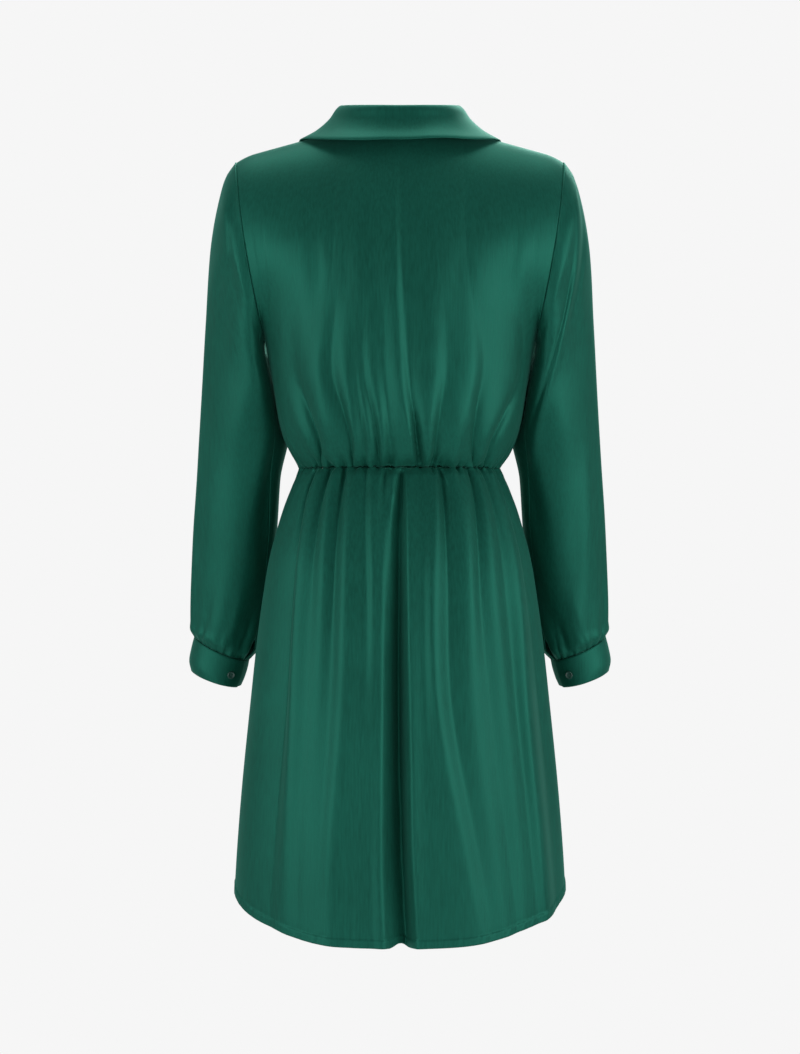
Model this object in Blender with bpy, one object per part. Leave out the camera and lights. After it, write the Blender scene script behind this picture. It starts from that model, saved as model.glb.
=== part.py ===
"""Wrap dress with a turned-down collar, long cuffed sleeves, an elasticated waist and a shirt-tail hem.

The dress is filled out as it is worn, with no wearer. Metres, +Z up. +Y is the wearer's back,
-Y the front and +X the wearer's left. The origin is at the base of the neck, between the shoulders.
Every panel is a thin wall: a mid surface given by a function, moved out and in by half the cloth.
"""

import math
from collections import namedtuple

import bpy
from mathutils import Vector

MM = 0.001

# ---------------------------------------------------------------- driving sizes
CLOTH = 1.2 * MM
COLLAR_CLOTH = 1.5 * MM
SEAM_GAP = 0.3 * MM
WRAP_STEP = 3.4 * MM  # between the two fronts where they lie over each other

WAIST_Z = -374 * MM
UNDERARM_Z = -228 * MM
SIDE_Y = -4 * MM  # the side seams and the shoulder seams lie a little forward of the middle

NECK_HALF_WIDTH = 70 * MM
NECK_SIDE_Z = 13 * MM
BACK_NECK_Y = 60 * MM
BACK_NECK_Z = 4 * MM
WRAP_STEP_TOP = -120 * MM  # the fronts no longer lie over each other here
WRAP_STEP_FULL = -200 * MM
NECK_SHARE = 0.4  # the share of a panel's half width that ends at the neck and not the shoulder

SHOULDER_TIP_X = 188 * MM
SHOULDER_SLOPE = 0.27
SHOULDER_ROUND_X = 165 * MM  # past here the shoulder seam falls away over the arm
SHOULDER_ROUND_DROP = 4.5 * MM
SHOULDER_SQUARENESS = 2.4

ARMHOLE_BACK_DEPTH = 62 * MM
ARMHOLE_FRONT_DEPTH = 56 * MM
ARMHOLE_BACK_BOW = 4 * MM
ARMHOLE_FRONT_BOW = -8 * MM

RING_SQUARENESS = 2.2
CUT_HOLD = 6  # how closely the armhole's cut keeps to the side of a panel at the underarm

# ---------------------------------------------------------------- sections and folds (millimetres)
Section = namedtuple("Section", "z half_width back front")
BODICE_SECTIONS = [
    Section(-374, 114.5, 79, -85),
    Section(-366, 119, 85, -91),
    Section(-359, 124, 90, -95),
    Section(-347, 130, 95.5, -101),
    Section(-337, 134, 99, -105),
    Section(-318, 139, 103, -111),
    Section(-282, 145, 106, -119),
    Section(-250, 151, 107.5, -124),
    Section(-228, 154, 108, -126),
]
SKIRT_SECTIONS = [
    Section(-374, 114.5, 79, -85),
    Section(-384, 118.5, 84, -89),
    Section(-396, 124, 89, -93),
    Section(-417, 132, 97, -99),
    Section(-444, 140, 105, -104),
    Section(-476, 148, 112, -109),
    Section(-514, 154, 117, -112),
    Section(-561, 160, 121, -115),
    Section(-641, 168, 124, -118),
    Section(-747, 178.5, 127, -122),
    Section(-838, 185.5, 129, -125),
    Section(-925, 190, 130, -127),
]

# The height of the hem round the skirt, from the middle of the back or front (0) to a side seam (1).
HemPoint = namedtuple("HemPoint", "share back_z front_z")
HEM = [
    HemPoint(0.0, -911, -890),
    HemPoint(0.2, -909, -889),
    HemPoint(0.3, -906, -887),
    HemPoint(0.41, -900, -883),
    HemPoint(0.515, -893, -878),
    HemPoint(0.64, -885, -871),
    HemPoint(0.755, -875, -862),
    HemPoint(0.84, -865, -852),
    HemPoint(0.917, -853, -841),
    HemPoint(1.0, -832, -828),
]

# A fold line is a ridge or a valley: its place across the panel, as a share of the half width
# (+ is the wearer's left), and how far it stands out there, at each level from the waist.
Fold = namedtuple("Fold", "across rise")
SKIRT_LEVELS = (-385, -500, -640, -810, -900)
SKIRT_BACK_FOLDS = [
    Fold((0.970, 0.975, 0.980, 0.980, 0.980), (1.0, 3.5, 5.0, 5.0, 4.0)),
    Fold((0.840, 0.790, 0.760, 0.765, 0.770), (-4.0, -6.5, -6.0, -4.0, -2.5)),
    Fold((0.783, 0.730, 0.690, 0.660, 0.640), (1.5, 3.0, 4.5, 2.5, 1.0)),
    Fold((0.673, 0.620, 0.590, 0.590, 0.580), (-3.0, -1.0, 1.5, 1.5, 1.0)),
    Fold((0.600, 0.540, 0.520, 0.530, 0.530), (2.0, 1.5, 2.0, 2.5, 2.0)),
    Fold((0.507, 0.453, 0.440, 0.460, 0.460), (-3.5, -2.5, 1.0, 3.0, 3.0)),
    Fold((0.396, 0.360, 0.343, 0.380, 0.380), (2.0, 4.0, 6.0, 6.0, 4.5)),
    Fold((0.286, 0.215, 0.200, 0.230, 0.240), (-1.5, -0.5, 1.0, 0.5, 0.0)),
    Fold((0.221, 0.166, 0.150, 0.150, 0.140), (1.5, 3.0, 1.5, -1.0, -2.0)),
    Fold((0.120, 0.112, 0.105, 0.100, 0.085), (-2.5, 1.5, 1.0, 0.5, 0.5)),
    Fold((0.055, 0.050, 0.048, 0.050, 0.040), (1.5, -7.0, -13.0, -12.0, -9.0)),
    Fold((-0.012, 0.004, 0.008, -0.010, -0.026), (-6.0, -19.0, -29.0, -29.0, -25.0)),
    Fold((-0.045, -0.045, -0.052, -0.062, -0.085), (1.5, 2.0, 3.0, 2.5, 1.0)),
    Fold((-0.166, -0.135, -0.130, -0.130, -0.130), (-0.5, 1.0, 1.0, 1.0, 0.5)),
    Fold((-0.286, -0.204, -0.206, -0.350, -0.440), (2.0, 5.0, 5.5, 3.5, 2.0)),
    Fold((-0.360, -0.320, -0.310, -0.450, -0.530), (-3.0, -3.5, -2.5, -0.5, 0.0)),
    Fold((-0.507, -0.475, -0.460, -0.550, -0.600), (2.0, 3.0, 1.0, 0.5, 0.5)),
    Fold((-0.654, -0.560, -0.570, -0.640, -0.680), (-2.5, -2.0, -1.0, -1.5, -1.5)),
    Fold((-0.728, -0.660, -0.680, -0.720, -0.740), (1.5, 2.0, 2.0, 1.0, 0.0)),
    Fold((-0.793, -0.750, -0.745, -0.775, -0.800), (-1.0, -0.5, 1.0, 1.0, 0.5)),
    Fold((-0.866, -0.845, -0.810, -0.835, -0.860), (2.0, 6.0, 7.5, 6.5, 4.5)),
    Fold((-0.920, -0.925, -0.930, -0.930, -0.940), (-1.0, -1.0, -1.5, 1.0, 1.0)),
    Fold((-0.975, -0.980, -0.985, -0.985, -0.985), (1.0, 3.0, 4.5, 4.5, 3.5)),
]
SKIRT_FRONT_FOLDS = [
    Fold((0.965, 0.970, 0.975, 0.975, 0.975), (1.0, 3.0, 4.0, 4.0, 3.0)),
    Fold((0.880, 0.860, 0.850, 0.850, 0.850), (-2.5, -2.5, -2.0, -1.0, -1.0)),
    Fold((0.790, 0.770, 0.750, 0.740, 0.730), (2.0, 4.0, 5.0, 5.0, 4.0)),
    Fold((0.680, 0.640, 0.610, 0.590, 0.580), (-3.5, -4.5, -4.0, -3.0, -2.0)),
    Fold((0.560, 0.510, 0.470, 0.450, 0.440), (2.0, 3.5, 4.5, 5.0, 4.0)),
    Fold((0.430, 0.370, 0.330, 0.310, 0.300), (-3.0, -3.5, -3.0, -3.0, -2.0)),
    Fold((0.300, 0.230, 0.190, 0.180, 0.170), (2.0, 2.5, 3.0, 3.5, 3.0)),
    Fold((0.160, 0.090, 0.050, 0.040, 0.040), (-3.0, -3.0, -3.0, -2.0, -1.0)),
    Fold((0.030, -0.050, -0.100, -0.110, -0.110), (2.0, 3.0, 4.0, 4.5, 4.0)),
    Fold((-0.110, -0.190, -0.240, -0.250, -0.250), (-3.0, -4.0, -4.0, -3.5, -2.5)),
    Fold((-0.240, -0.320, -0.370, -0.390, -0.390), (2.0, 3.0, 3.5, 3.5, 3.0)),
    Fold((-0.370, -0.450, -0.490, -0.510, -0.510), (-3.0, -2.5, -2.0, -1.0, 0.0)),
    Fold((-0.500, -0.570, -0.610, -0.630, -0.640), (2.0, 3.5, 4.5, 5.0, 4.0)),
    Fold((-0.630, -0.690, -0.720, -0.740, -0.750), (-3.5, -4.5, -4.5, -3.5, -2.5)),
    Fold((-0.770, -0.800, -0.820, -0.840, -0.850), (2.0, 4.0, 5.0, 4.5, 3.5)),
    Fold((-0.880, -0.900, -0.910, -0.920, -0.920), (-2.5, -2.0, -1.5, -1.0, -1.0)),
    Fold((-0.965, -0.970, -0.975, -0.975, -0.975), (1.0, 3.0, 4.0, 4.0, 3.0)),
]
BODICE_LEVELS = (-372, -345, -310, -270, -200, -100)
BODICE_BACK_FOLDS = [
    Fold((0.910, 0.862, 0.892, 0.930, 0.896, 0.853), (1.5, 1.5, 1.2, 0.8, 0.4, 0.0)),
    Fold((0.772, 0.701, 0.732, 0.806, 0.919, 0.935), (-4.0, -4.8, -4.8, -3.5, -1.2, 0.0)),
    Fold((0.668, 0.588, 0.593, 0.596, 0.628, 0.625), (1.5, 1.8, 3.0, 3.5, 2.2, 0.3)),
    Fold((0.434, 0.394, 0.428, 0.493, 0.511, 0.507), (-3.0, -3.0, -2.8, -2.2, -1.0, 0.0)),
    Fold((0.385, 0.351, 0.356, 0.376, 0.447, 0.455), (2.0, 2.0, 2.2, 2.2, 1.2, 0.0)),
    Fold((0.297, 0.283, 0.284, 0.308, 0.348, 0.354), (-1.5, -1.5, -1.0, -0.5, 0.0, 0.0)),
    Fold((0.249, 0.224, 0.246, 0.282, 0.341, 0.341), (1.5, 1.2, 0.8, 0.0, -0.4, 0.0)),
    Fold((0.175, 0.168, 0.200, 0.256, 0.327, 0.329), (-3.5, -3.0, -2.5, -2.0, -0.8, 0.0)),
    Fold((0.130, 0.128, 0.140, 0.183, 0.232, 0.255), (1.5, 1.5, 1.5, 1.5, 1.0, 0.3)),
    Fold((0.061, 0.067, 0.076, 0.099, 0.140, 0.142), (-2.5, -2.5, -2.2, -2.0, -1.5, -0.3)),
    Fold((-0.103, -0.078, -0.032, -0.002, 0.014, 0.022), (2.5, 3.0, 3.0, 3.0, 2.2, 1.2)),
    Fold((-0.175, -0.124, -0.086, -0.046, -0.017, -0.002), (-5.0, -5.5, -4.5, -3.2, -2.4, -1.0)),
    Fold((-0.231, -0.200, -0.211, -0.226, -0.218, -0.171), (2.0, 2.2, 2.2, 2.0, 1.0, 0.3)),
    Fold((-0.297, -0.283, -0.292, -0.323, -0.355, -0.354), (-3.5, -3.0, -2.2, -1.5, -0.8, 0.0)),
    Fold((-0.504, -0.472, -0.489, -0.516, -0.497, -0.481), (2.0, 2.2, 2.5, 2.5, 1.6, 0.2)),
    Fold((-0.699, -0.615, -0.593, -0.620, -0.694, -0.731), (-3.0, -3.0, -2.8, -2.5, -1.4, 0.0)),
    Fold((-0.762, -0.706, -0.771, -0.872, -0.813, -0.778), (1.8, 2.0, 2.2, 2.2, 1.2, 0.0)),
    Fold((-0.825, -0.788, -0.848, -0.930, -0.889, -0.866), (-3.0, -2.5, -2.5, -1.2, -0.6, 0.0)),
    Fold((-0.888, -0.862, -0.909, -0.972, -0.927, -0.894), (1.2, 1.2, 1.0, 0.8, 0.3, 0.0)),
]
BODICE_FRONT_FOLDS = [
    Fold((0.950, 0.950, 0.955, 0.960, 0.965, 0.965), (1.0, 1.5, 1.5, 1.0, 0.5, 0.0)),
    Fold((0.870, 0.880, 0.900, 0.920, 0.930, 0.930), (-2.0, -2.0, -1.2, -0.4, 0.0, 0.0)),
    Fold((0.800, 0.800, 0.820, 0.850, 0.860, 0.860), (1.5, 1.8, 1.6, 0.8, 0.3, 0.0)),
    Fold((0.720, 0.720, 0.740, 0.770, 0.780, 0.780), (-2.0, -2.0, -1.6, -1.0, -0.3, 0.0)),
    Fold((0.640, 0.640, 0.650, 0.670, 0.680, 0.680), (1.6, 1.8, 1.6, 0.8, 0.3, 0.0)),
    Fold((0.550, 0.550, 0.560, 0.570, 0.570, 0.570), (-1.8, -1.4, -0.8, -0.2, 0.0, 0.0)),
    Fold((0.470, 0.460, 0.450, 0.450, 0.450, 0.450), (1.4, 1.2, 0.6, 0.1, 0.0, 0.0)),
    Fold((0.380, 0.370, 0.360, 0.350, 0.350, 0.350), (-1.5, -1.0, -0.3, 0.0, 0.0, 0.0)),
    Fold((0.300, 0.280, 0.270, 0.260, 0.250, 0.250), (1.3, 0.9, 0.3, 0.0, 0.0, 0.0)),
    Fold((0.210, 0.190, 0.180, 0.160, 0.150, 0.150), (-1.5, -0.9, -0.2, 0.0, 0.0, 0.0)),
    Fold((0.130, 0.110, 0.090, 0.070, 0.060, 0.060), (1.3, 0.8, 0.2, 0.0, 0.0, 0.0)),
    Fold((0.040, 0.020, 0.010, 0.000, 0.000, 0.000), (-1.4, -0.8, -0.2, 0.0, 0.0, 0.0)),
    Fold((-0.040, -0.060, -0.070, -0.080, -0.090, -0.090), (1.3, 0.8, 0.2, 0.0, 0.0, 0.0)),
    Fold((-0.130, -0.150, -0.160, -0.170, -0.180, -0.180), (-1.5, -0.9, -0.2, 0.0, 0.0, 0.0)),
    Fold((-0.210, -0.240, -0.260, -0.270, -0.270, -0.270), (1.3, 0.9, 0.3, 0.0, 0.0, 0.0)),
    Fold((-0.300, -0.320, -0.340, -0.360, -0.370, -0.370), (-1.5, -1.0, -0.3, 0.0, 0.0, 0.0)),
    Fold((-0.380, -0.400, -0.420, -0.450, -0.460, -0.460), (1.4, 1.1, 0.5, 0.1, 0.0, 0.0)),
    Fold((-0.470, -0.480, -0.510, -0.550, -0.570, -0.570), (-1.8, -1.3, -0.7, -0.1, 0.0, 0.0)),
    Fold((-0.560, -0.570, -0.600, -0.640, -0.660, -0.660), (1.5, 1.7, 1.5, 0.8, 0.3, 0.0)),
    Fold((-0.650, -0.660, -0.690, -0.730, -0.750, -0.750), (-2.0, -2.0, -1.6, -0.8, -0.3, 0.0)),
    Fold((-0.730, -0.740, -0.770, -0.810, -0.830, -0.830), (1.6, 1.7, 1.5, 0.8, 0.3, 0.0)),
    Fold((-0.810, -0.820, -0.850, -0.880, -0.890, -0.890), (-1.8, -1.8, -1.2, -0.4, 0.0, 0.0)),
    Fold((-0.880, -0.890, -0.910, -0.930, -0.940, -0.940), (1.2, 1.4, 1.0, 0.5, 0.0, 0.0)),
    Fold((-0.950, -0.955, -0.965, -0.970, -0.975, -0.975), (-1.0, -1.0, -0.5, 0.0, 0.0, 0.0)),
]

# The wrap edges of the fronts: how far across the front each one lies (share of the half width,
# + towards the panel's own side) at each height. The left front is the mirror image.
EdgePoint = namedtuple("EdgePoint", "z x")
BODICE_EDGE = [
    EdgePoint(-374, -84),
    EdgePoint(-330, -66),
    EdgePoint(-270, -39),
    EdgePoint(-200, -6),
    EdgePoint(-130, 24),
    EdgePoint(-60, 51),
    EdgePoint(13, 70),
]

# Sleeve rings from the armhole down. outer and inner are the ends of the ring seen from behind,
# middle_y its middle, depth half its depth, drop how far its back hangs below its middle and
# belly how far its back and front swell away from the body.
SleeveRing = namedtuple("SleeveRing", "outer_x outer_z inner_x inner_z middle_y depth drop belly")
SLEEVE_RINGS = [
    SleeveRing(188.0, -24, 154.0, -228, -1, 59, 0, 0),
    SleeveRing(198.5, -37, 156.0, -240, -4, 60.5, 1, 5),
    SleeveRing(206.0, -58, 153.0, -254, -8, 60.5, 2, 7),
    SleeveRing(215.0, -100, 147.0, -280, -15, 58, 3, 6),
    SleeveRing(220.0, -152, 141.0, -312, -22, 55, 4, 3),
    SleeveRing(224.0, -214, 135.5, -348, -30, 51, 5, 1),
    SleeveRing(228.5, -294, 139.5, -388, -40, 48, 6, 0),
    SleeveRing(233.0, -366, 142.6, -432, -49, 45, 7, 0),
    SleeveRing(237.5, -430, 145.5, -472, -57, 43, 8, 0),
    SleeveRing(240.5, -490, 149.0, -512, -64, 41, 8, 0),
    SleeveRing(242.0, -532, 156.0, -548, -68, 39, 8, 0),
    SleeveRing(242.0, -556, 166.0, -578, -70, 36, 7, 0),
    SleeveRing(239.5, -568.6, 177.0, -595.6, -71, 32, 6, 0),
]
CUFF_RINGS = [
    SleeveRing(240.0, -569.6, 177.0, -596.6, -71, 32, 6, 0),
    SleeveRing(243.5, -583, 179.0, -606, -72, 31.5, 6, 0),
    SleeveRing(246.0, -597, 182.5, -617, -73, 31.5, 6, 0),
    SleeveRing(244.0, -608, 186.5, -626, -74, 31, 5.5, 0),
]
SLEEVE_SEAM_TURN = 0.41  # the underarm seam, as a share of a turn from the outer side round the back
SLIT_LENGTH = 62 * MM
SLIT_GAP = 9 * MM
CUFF_LAP = 0.11  # share of a turn by which the cuff's ends lie over each other
CUFF_LAP_STEP = 2.1 * MM
CUFF_END_TURN = 0.41

BUTTON_RADIUS = 4.6 * MM
BUTTON_THICKNESS = 2.0 * MM

DRESS_GREEN = (0.014, 0.100, 0.073)
BUTTON_GREEN = (0.045, 0.10, 0.085)


# ---------------------------------------------------------------- arithmetic
def mix(a, b, share):
    return a + (b - a) * share


def ease(share):
    share = min(1.0, max(0.0, share))
    return share * share * (3 - 2 * share)


def through(xs, ys, x):
    """A smooth curve through the points (xs, ys), flat past its ends. xs rise or fall."""
    if xs[0] > xs[-1]:
        xs, ys = xs[::-1], ys[::-1]
    if x <= xs[0]:
        return ys[0]
    if x >= xs[-1]:
        return ys[-1]
    i = max(k for k in range(len(xs) - 1) if xs[k] <= x)
    slopes = []
    for k in (i, i + 1):
        low, high = max(k - 1, 0), min(k + 1, len(xs) - 1)
        slopes.append((ys[high] - ys[low]) / (xs[high] - xs[low]))
    step = xs[i + 1] - xs[i]
    t = (x - xs[i]) / step
    return (
        (1 + 2 * t) * (1 - t) ** 2 * ys[i]
        + t * (1 - t) ** 2 * step * slopes[0]
        + t * t * (3 - 2 * t) * ys[i + 1]
        + t * t * (t - 1) * step * slopes[1]
    )


def column(table, name, scale=MM):
    return [getattr(row, name) * scale for row in table]


def power(value, exponent):
    return math.copysign(abs(value) ** exponent, value)


# ---------------------------------------------------------------- rings round the body
def section_at(table, z):
    heights = column(table, "z")
    return tuple(through(heights, column(table, name), z) for name in ("half_width", "back", "front"))


def ring_point(half_width, back, front, turn):
    """A point of a ring and its outward direction. turn is 0 at the back and grows to the left."""
    depth = back - SIDE_Y if math.cos(turn) >= 0 else SIDE_Y - front
    x = half_width * power(math.sin(turn), 2 / RING_SQUARENESS)
    y = SIDE_Y + depth * power(math.cos(turn), 2 / RING_SQUARENESS)
    return x, y, Vector((math.sin(turn) / half_width, math.cos(turn) / depth, 0)).normalized()


def across_to_turn(across):
    return math.asin(max(-1.0, min(1.0, across)))


def fold_places(folds, levels, z):
    """(turn, rise) of each fold line at a height, from right to left."""
    heights = [level * MM for level in levels]
    places = []
    for fold in folds:
        turn = across_to_turn(through(heights, fold.across, z))
        places.append((turn, through(heights, fold.rise, z) * MM))
    return places[::-1]


def fold_rise(places, turn):
    """How far the cloth stands out between its ridges and valleys, which are joined by soft waves."""
    places = [(-math.pi / 2, 0.0), *places, (math.pi / 2, 0.0)]
    for (turn_a, rise_a), (turn_b, rise_b) in zip(places, places[1:]):
        if turn <= turn_b:
            return mix(rise_a, rise_b, ease((turn - turn_a) / (turn_b - turn_a)))
    return 0.0


# Gathers are drawn tight at the waist seam and spring out just above and below it.
SEAM_PULL = 1.6 * MM
SEAM_REACH = 9 * MM


def seam_spring(z):
    return ease(abs(z - WAIST_Z) / SEAM_REACH)


# ---------------------------------------------------------------- the bodice's form
def neck_and_shoulder(u, front):
    """The top edge of a panel: the neckline up to NECK_SHARE and the shoulder seam past it.
    The fronts have no neckline of their own: their wrap edges cut them off."""
    side, share = math.copysign(1, u), abs(u)
    if share < NECK_SHARE and front:
        return side * NECK_HALF_WIDTH * share / NECK_SHARE, SIDE_Y, NECK_SIDE_Z
    if share < NECK_SHARE:
        angle = math.pi / 2 * share / NECK_SHARE
        return (
            side * NECK_HALF_WIDTH * math.sin(angle),
            SIDE_Y + (BACK_NECK_Y - SIDE_Y) * math.cos(angle),
            BACK_NECK_Z + (NECK_SIDE_Z - BACK_NECK_Z) * math.sin(angle) ** 2,
        )
    x = mix(NECK_HALF_WIDTH, SHOULDER_TIP_X, (share - NECK_SHARE) / (1 - NECK_SHARE))
    past = max(0.0, x - SHOULDER_ROUND_X) / (SHOULDER_TIP_X - SHOULDER_ROUND_X)
    z = NECK_SIDE_Z - SHOULDER_SLOPE * (x - NECK_HALF_WIDTH) - SHOULDER_ROUND_DROP * past**2
    return side * x, SIDE_Y, z


def keep_clear(point):
    """Moves a point of the left sleeve out of the body's side, below the underarm."""
    if point.z > UNDERARM_Z + 1 * MM:
        return point
    table = BODICE_SECTIONS if point.z > WAIST_Z else SKIRT_SECTIONS
    half_width, back, front = section_at(table, point.z)
    depth = back - SIDE_Y if point.y > SIDE_Y else SIDE_Y - front
    share = min(1.0, abs(point.y - SIDE_Y) / depth)
    limit = half_width * (1 - share**RING_SQUARENESS) ** (1 / RING_SQUARENESS) + SLEEVE_CLEARANCE
    return Vector((max(point.x, limit), point.y, point.z))


def bodice_point(u, v, front, folds, lift=0.0):
    """A point of the bodice. u is -1 to 1 across, + to the left; v is 0 at the waist, 1 at the
    underarm and 2 at the shoulder seam or neckline. lift moves it outwards."""
    turn = u * math.pi / 2
    body_turn = math.pi - turn if front else turn
    if v <= 1:
        z = mix(WAIST_Z, UNDERARM_Z, v)
        x, y, out = ring_point(*section_at(BODICE_SECTIONS, z), body_turn)
        rise = fold_rise(fold_places(folds, BODICE_LEVELS, z), turn)
        spring = seam_spring(z)
        rise = rise * mix(0.3, 1.0, spring) - SEAM_PULL * (1 - spring)
        return Vector((x, y, z)) + out * (rise + lift)
    half_width, back_y, front_y = section_at(BODICE_SECTIONS, UNDERARM_Z)
    section = half_width, back_y, front_y
    _, low_y, _ = ring_point(*section, body_turn)
    top_x, top_y, top_z = neck_and_shoulder(u, front)
    n = SHOULDER_SQUARENESS
    reach = low_y - SIDE_Y
    ratio = 0.0 if front or abs(u) >= NECK_SHARE else max(0.0, (top_y - SIDE_Y) / reach)
    ridge_z = UNDERARM_Z + (top_z - UNDERARM_Z) / (1 - ratio**n) ** (1 / n)
    angle = (v - 1) * math.acos(ratio ** (n / 2))
    inward = math.cos(angle) ** (2 / n)
    z = UNDERARM_Z + (ridge_z - UNDERARM_Z) * math.sin(angle) ** (2 / n)
    climbed = min(1.0, (z - UNDERARM_Z) / (top_z - UNDERARM_Z))
    # The ring is cut short at the armhole, which lies behind or before the side.
    hollow = max(0.0, 4 * climbed * (1 - climbed))
    armhole_depth = ARMHOLE_FRONT_DEPTH if front else ARMHOLE_BACK_DEPTH
    full_depth = (SIDE_Y - front_y if front else back_y - SIDE_Y) * max(inward, 0.02)
    short = min(0.92, armhole_depth * math.sqrt(hollow) / full_depth)
    end_turn = math.acos(short ** (RING_SQUARENESS / 2))
    kept = math.sin(end_turn) ** (2 / RING_SQUARENESS)
    share = math.copysign(abs(math.sin(u * end_turn)) ** (2 / RING_SQUARENESS), u) / kept
    hold = CUT_HOLD * (1 - ease(climbed / 0.5))
    wide = abs(share) * (1 - (1 - kept) * abs(share) ** hold)
    cut_turn = math.copysign(math.asin(wide ** (RING_SQUARENESS / 2)), u)
    _, low_y, out = ring_point(*section, math.pi - cut_turn if front else cut_turn)
    bow = ARMHOLE_FRONT_BOW if front else ARMHOLE_BACK_BOW
    x = mix(half_width * share, top_x, climbed) + bow * hollow * share * abs(share)
    y = SIDE_Y + (low_y - SIDE_Y) * inward
    edge_x = mix(half_width, SHOULDER_TIP_X, climbed) + bow * hollow
    fold_turn = math.copysign(math.asin(min(1.0, abs(x) / edge_x) ** (RING_SQUARENESS / 2)), x)
    rise = fold_rise(fold_places(folds, BODICE_LEVELS, z), fold_turn)
    top_fade = 1 - ease((v - 1.75) / 0.25)
    lift *= 1 - ease((z - WRAP_STEP_FULL) / (WRAP_STEP_TOP - WRAP_STEP_FULL))
    up = Vector((0, 0, ease((climbed - 0.5) * 2)))
    return Vector((x, y, z)) + (out * (1 - up.z) + up).normalized() * (rise + lift) * top_fade


def armhole_point(turn):
    """A point of the left armhole; turn is 0 at the shoulder and goes round by the back."""
    angle = 2 * math.pi * turn
    climbed = (1 + math.cos(angle)) / 2
    tip = neck_and_shoulder(1.0, False)
    back = math.sin(angle) >= 0
    depth = ARMHOLE_BACK_DEPTH if back else ARMHOLE_FRONT_DEPTH
    bow = ARMHOLE_BACK_BOW if back else ARMHOLE_FRONT_BOW
    low_x = section_at(BODICE_SECTIONS, UNDERARM_Z)[0]
    x = mix(low_x, tip[0], climbed) + bow * math.sin(angle) ** 2
    return Vector((x, SIDE_Y + depth * math.sin(angle), mix(UNDERARM_Z, tip[2], climbed)))


# ---------------------------------------------------------------- the skirt's form
def hem_z(turn):
    """Height of the hem at a turn of the skirt, the back's or the front's."""
    back = math.cos(turn) >= 0
    share = abs(math.asin(math.sin(turn))) / (math.pi / 2)
    return through(column(HEM, "share", 1), column(HEM, "back_z" if back else "front_z"), share)


def skirt_point(turn, z, lift=0.0):
    x, y, out = ring_point(*section_at(SKIRT_SECTIONS, z), turn)
    back = math.cos(turn) >= 0
    local = math.asin(max(-1.0, min(1.0, math.sin(turn))))
    rise = fold_rise(fold_places(SKIRT_BACK_FOLDS if back else SKIRT_FRONT_FOLDS, SKIRT_LEVELS, z), local)
    spring = seam_spring(z)
    rise = rise * mix(0.3, 1.0, spring) - SEAM_PULL * (1 - spring)
    return Vector((x, y, z)) + out * (rise + lift)


# ---------------------------------------------------------------- the sleeve's form
def sleeve_ring_point(ring, turn):
    """A point of a sleeve or cuff ring; turn is 0 at the outer side and goes round by the back."""
    outer = Vector((ring.outer_x, ring.middle_y, ring.outer_z)) * MM
    inner = Vector((ring.inner_x, ring.middle_y, ring.inner_z)) * MM
    back = Vector((0, ring.depth, -ring.drop)) * MM
    middle = (outer + inner) / 2
    angle = 2 * math.pi * turn
    point = middle + (outer - middle) * math.cos(angle) + back * math.sin(angle)
    point.x += ring.belly * MM * math.sin(angle) ** 2
    return point


def ring_between(rings, place):
    """The ring at a place along a table of rings, 0 at its first row and 1 at its last."""
    rows = list(range(len(rings)))
    at = place * rows[-1]
    return SleeveRing(*(through(rows, [ring[k] for ring in rings], at) for k in range(len(rings[0]))))


# Soft creases of the sleeve: where each starts and ends (place along, turn round) and its size.
Crease = namedtuple("Crease", "place_a turn_a place_b turn_b width rise")
SLEEVE_CREASES = [
    Crease(0.10, 0.16, 0.34, 0.06, 13, 4.0),
    Crease(0.16, 0.27, 0.42, 0.14, 12, -4.5),
    Crease(0.24, 0.40, 0.50, 0.22, 14, 4.0),
    Crease(0.30, 0.47, 0.62, 0.36, 12, -4.0),
    Crease(0.30, 0.06, 0.95, 0.05, 9, 2.5),
    Crease(0.60, 0.30, 0.92, 0.20, 16, 2.5),
    Crease(0.66, 0.42, 0.95, 0.30, 13, -2.5),
    Crease(0.20, 0.86, 0.46, 0.74, 14, 3.5),
    Crease(0.28, 0.70, 0.52, 0.58, 14, -3.5),
    Crease(0.55, 0.80, 0.90, 0.72, 16, 3.0),
]
SLEEVE_GATHERS = 14
SLEEVE_GATHER_RISE = 1.6 * MM
SLEEVE_GATHER_REACH = 0.12


def crease_rise(place, turn, length, girth):
    total = 0.0
    for crease in SLEEVE_CREASES:
        along = Vector(((crease.place_b - crease.place_a) * length, (crease.turn_b - crease.turn_a) * girth))
        here = Vector(((place - crease.place_a) * length, (turn - crease.turn_a) * girth))
        share = here.dot(along) / along.length_squared
        if not -0.25 < share < 1.25:
            continue
        aside = (here - along * share).length / (crease.width * MM)
        ends = ease((share + 0.25) / 0.5) * ease((1.25 - share) / 0.5)
        total += crease.rise * MM * math.exp(-(aside**2)) * ends
    return total


SLEEVE_CLEARANCE = 3.8 * MM
SLEEVE_LENGTH = 540 * MM
SLEEVE_GIRTH = 290 * MM


# Below the underarm the sleeve hangs a little before the body's side and lies along it.
LEAN = 16 * MM
LEAN_TURN = 0.62
LEAN_WIDTH = 0.10


def sleeve_lean(place, turn):
    near = math.exp(-(((turn - LEAN_TURN) / LEAN_WIDTH) ** 2))
    return LEAN * near * ease((place - 0.13) / 0.10) * ease((0.50 - place) / 0.12)


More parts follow.
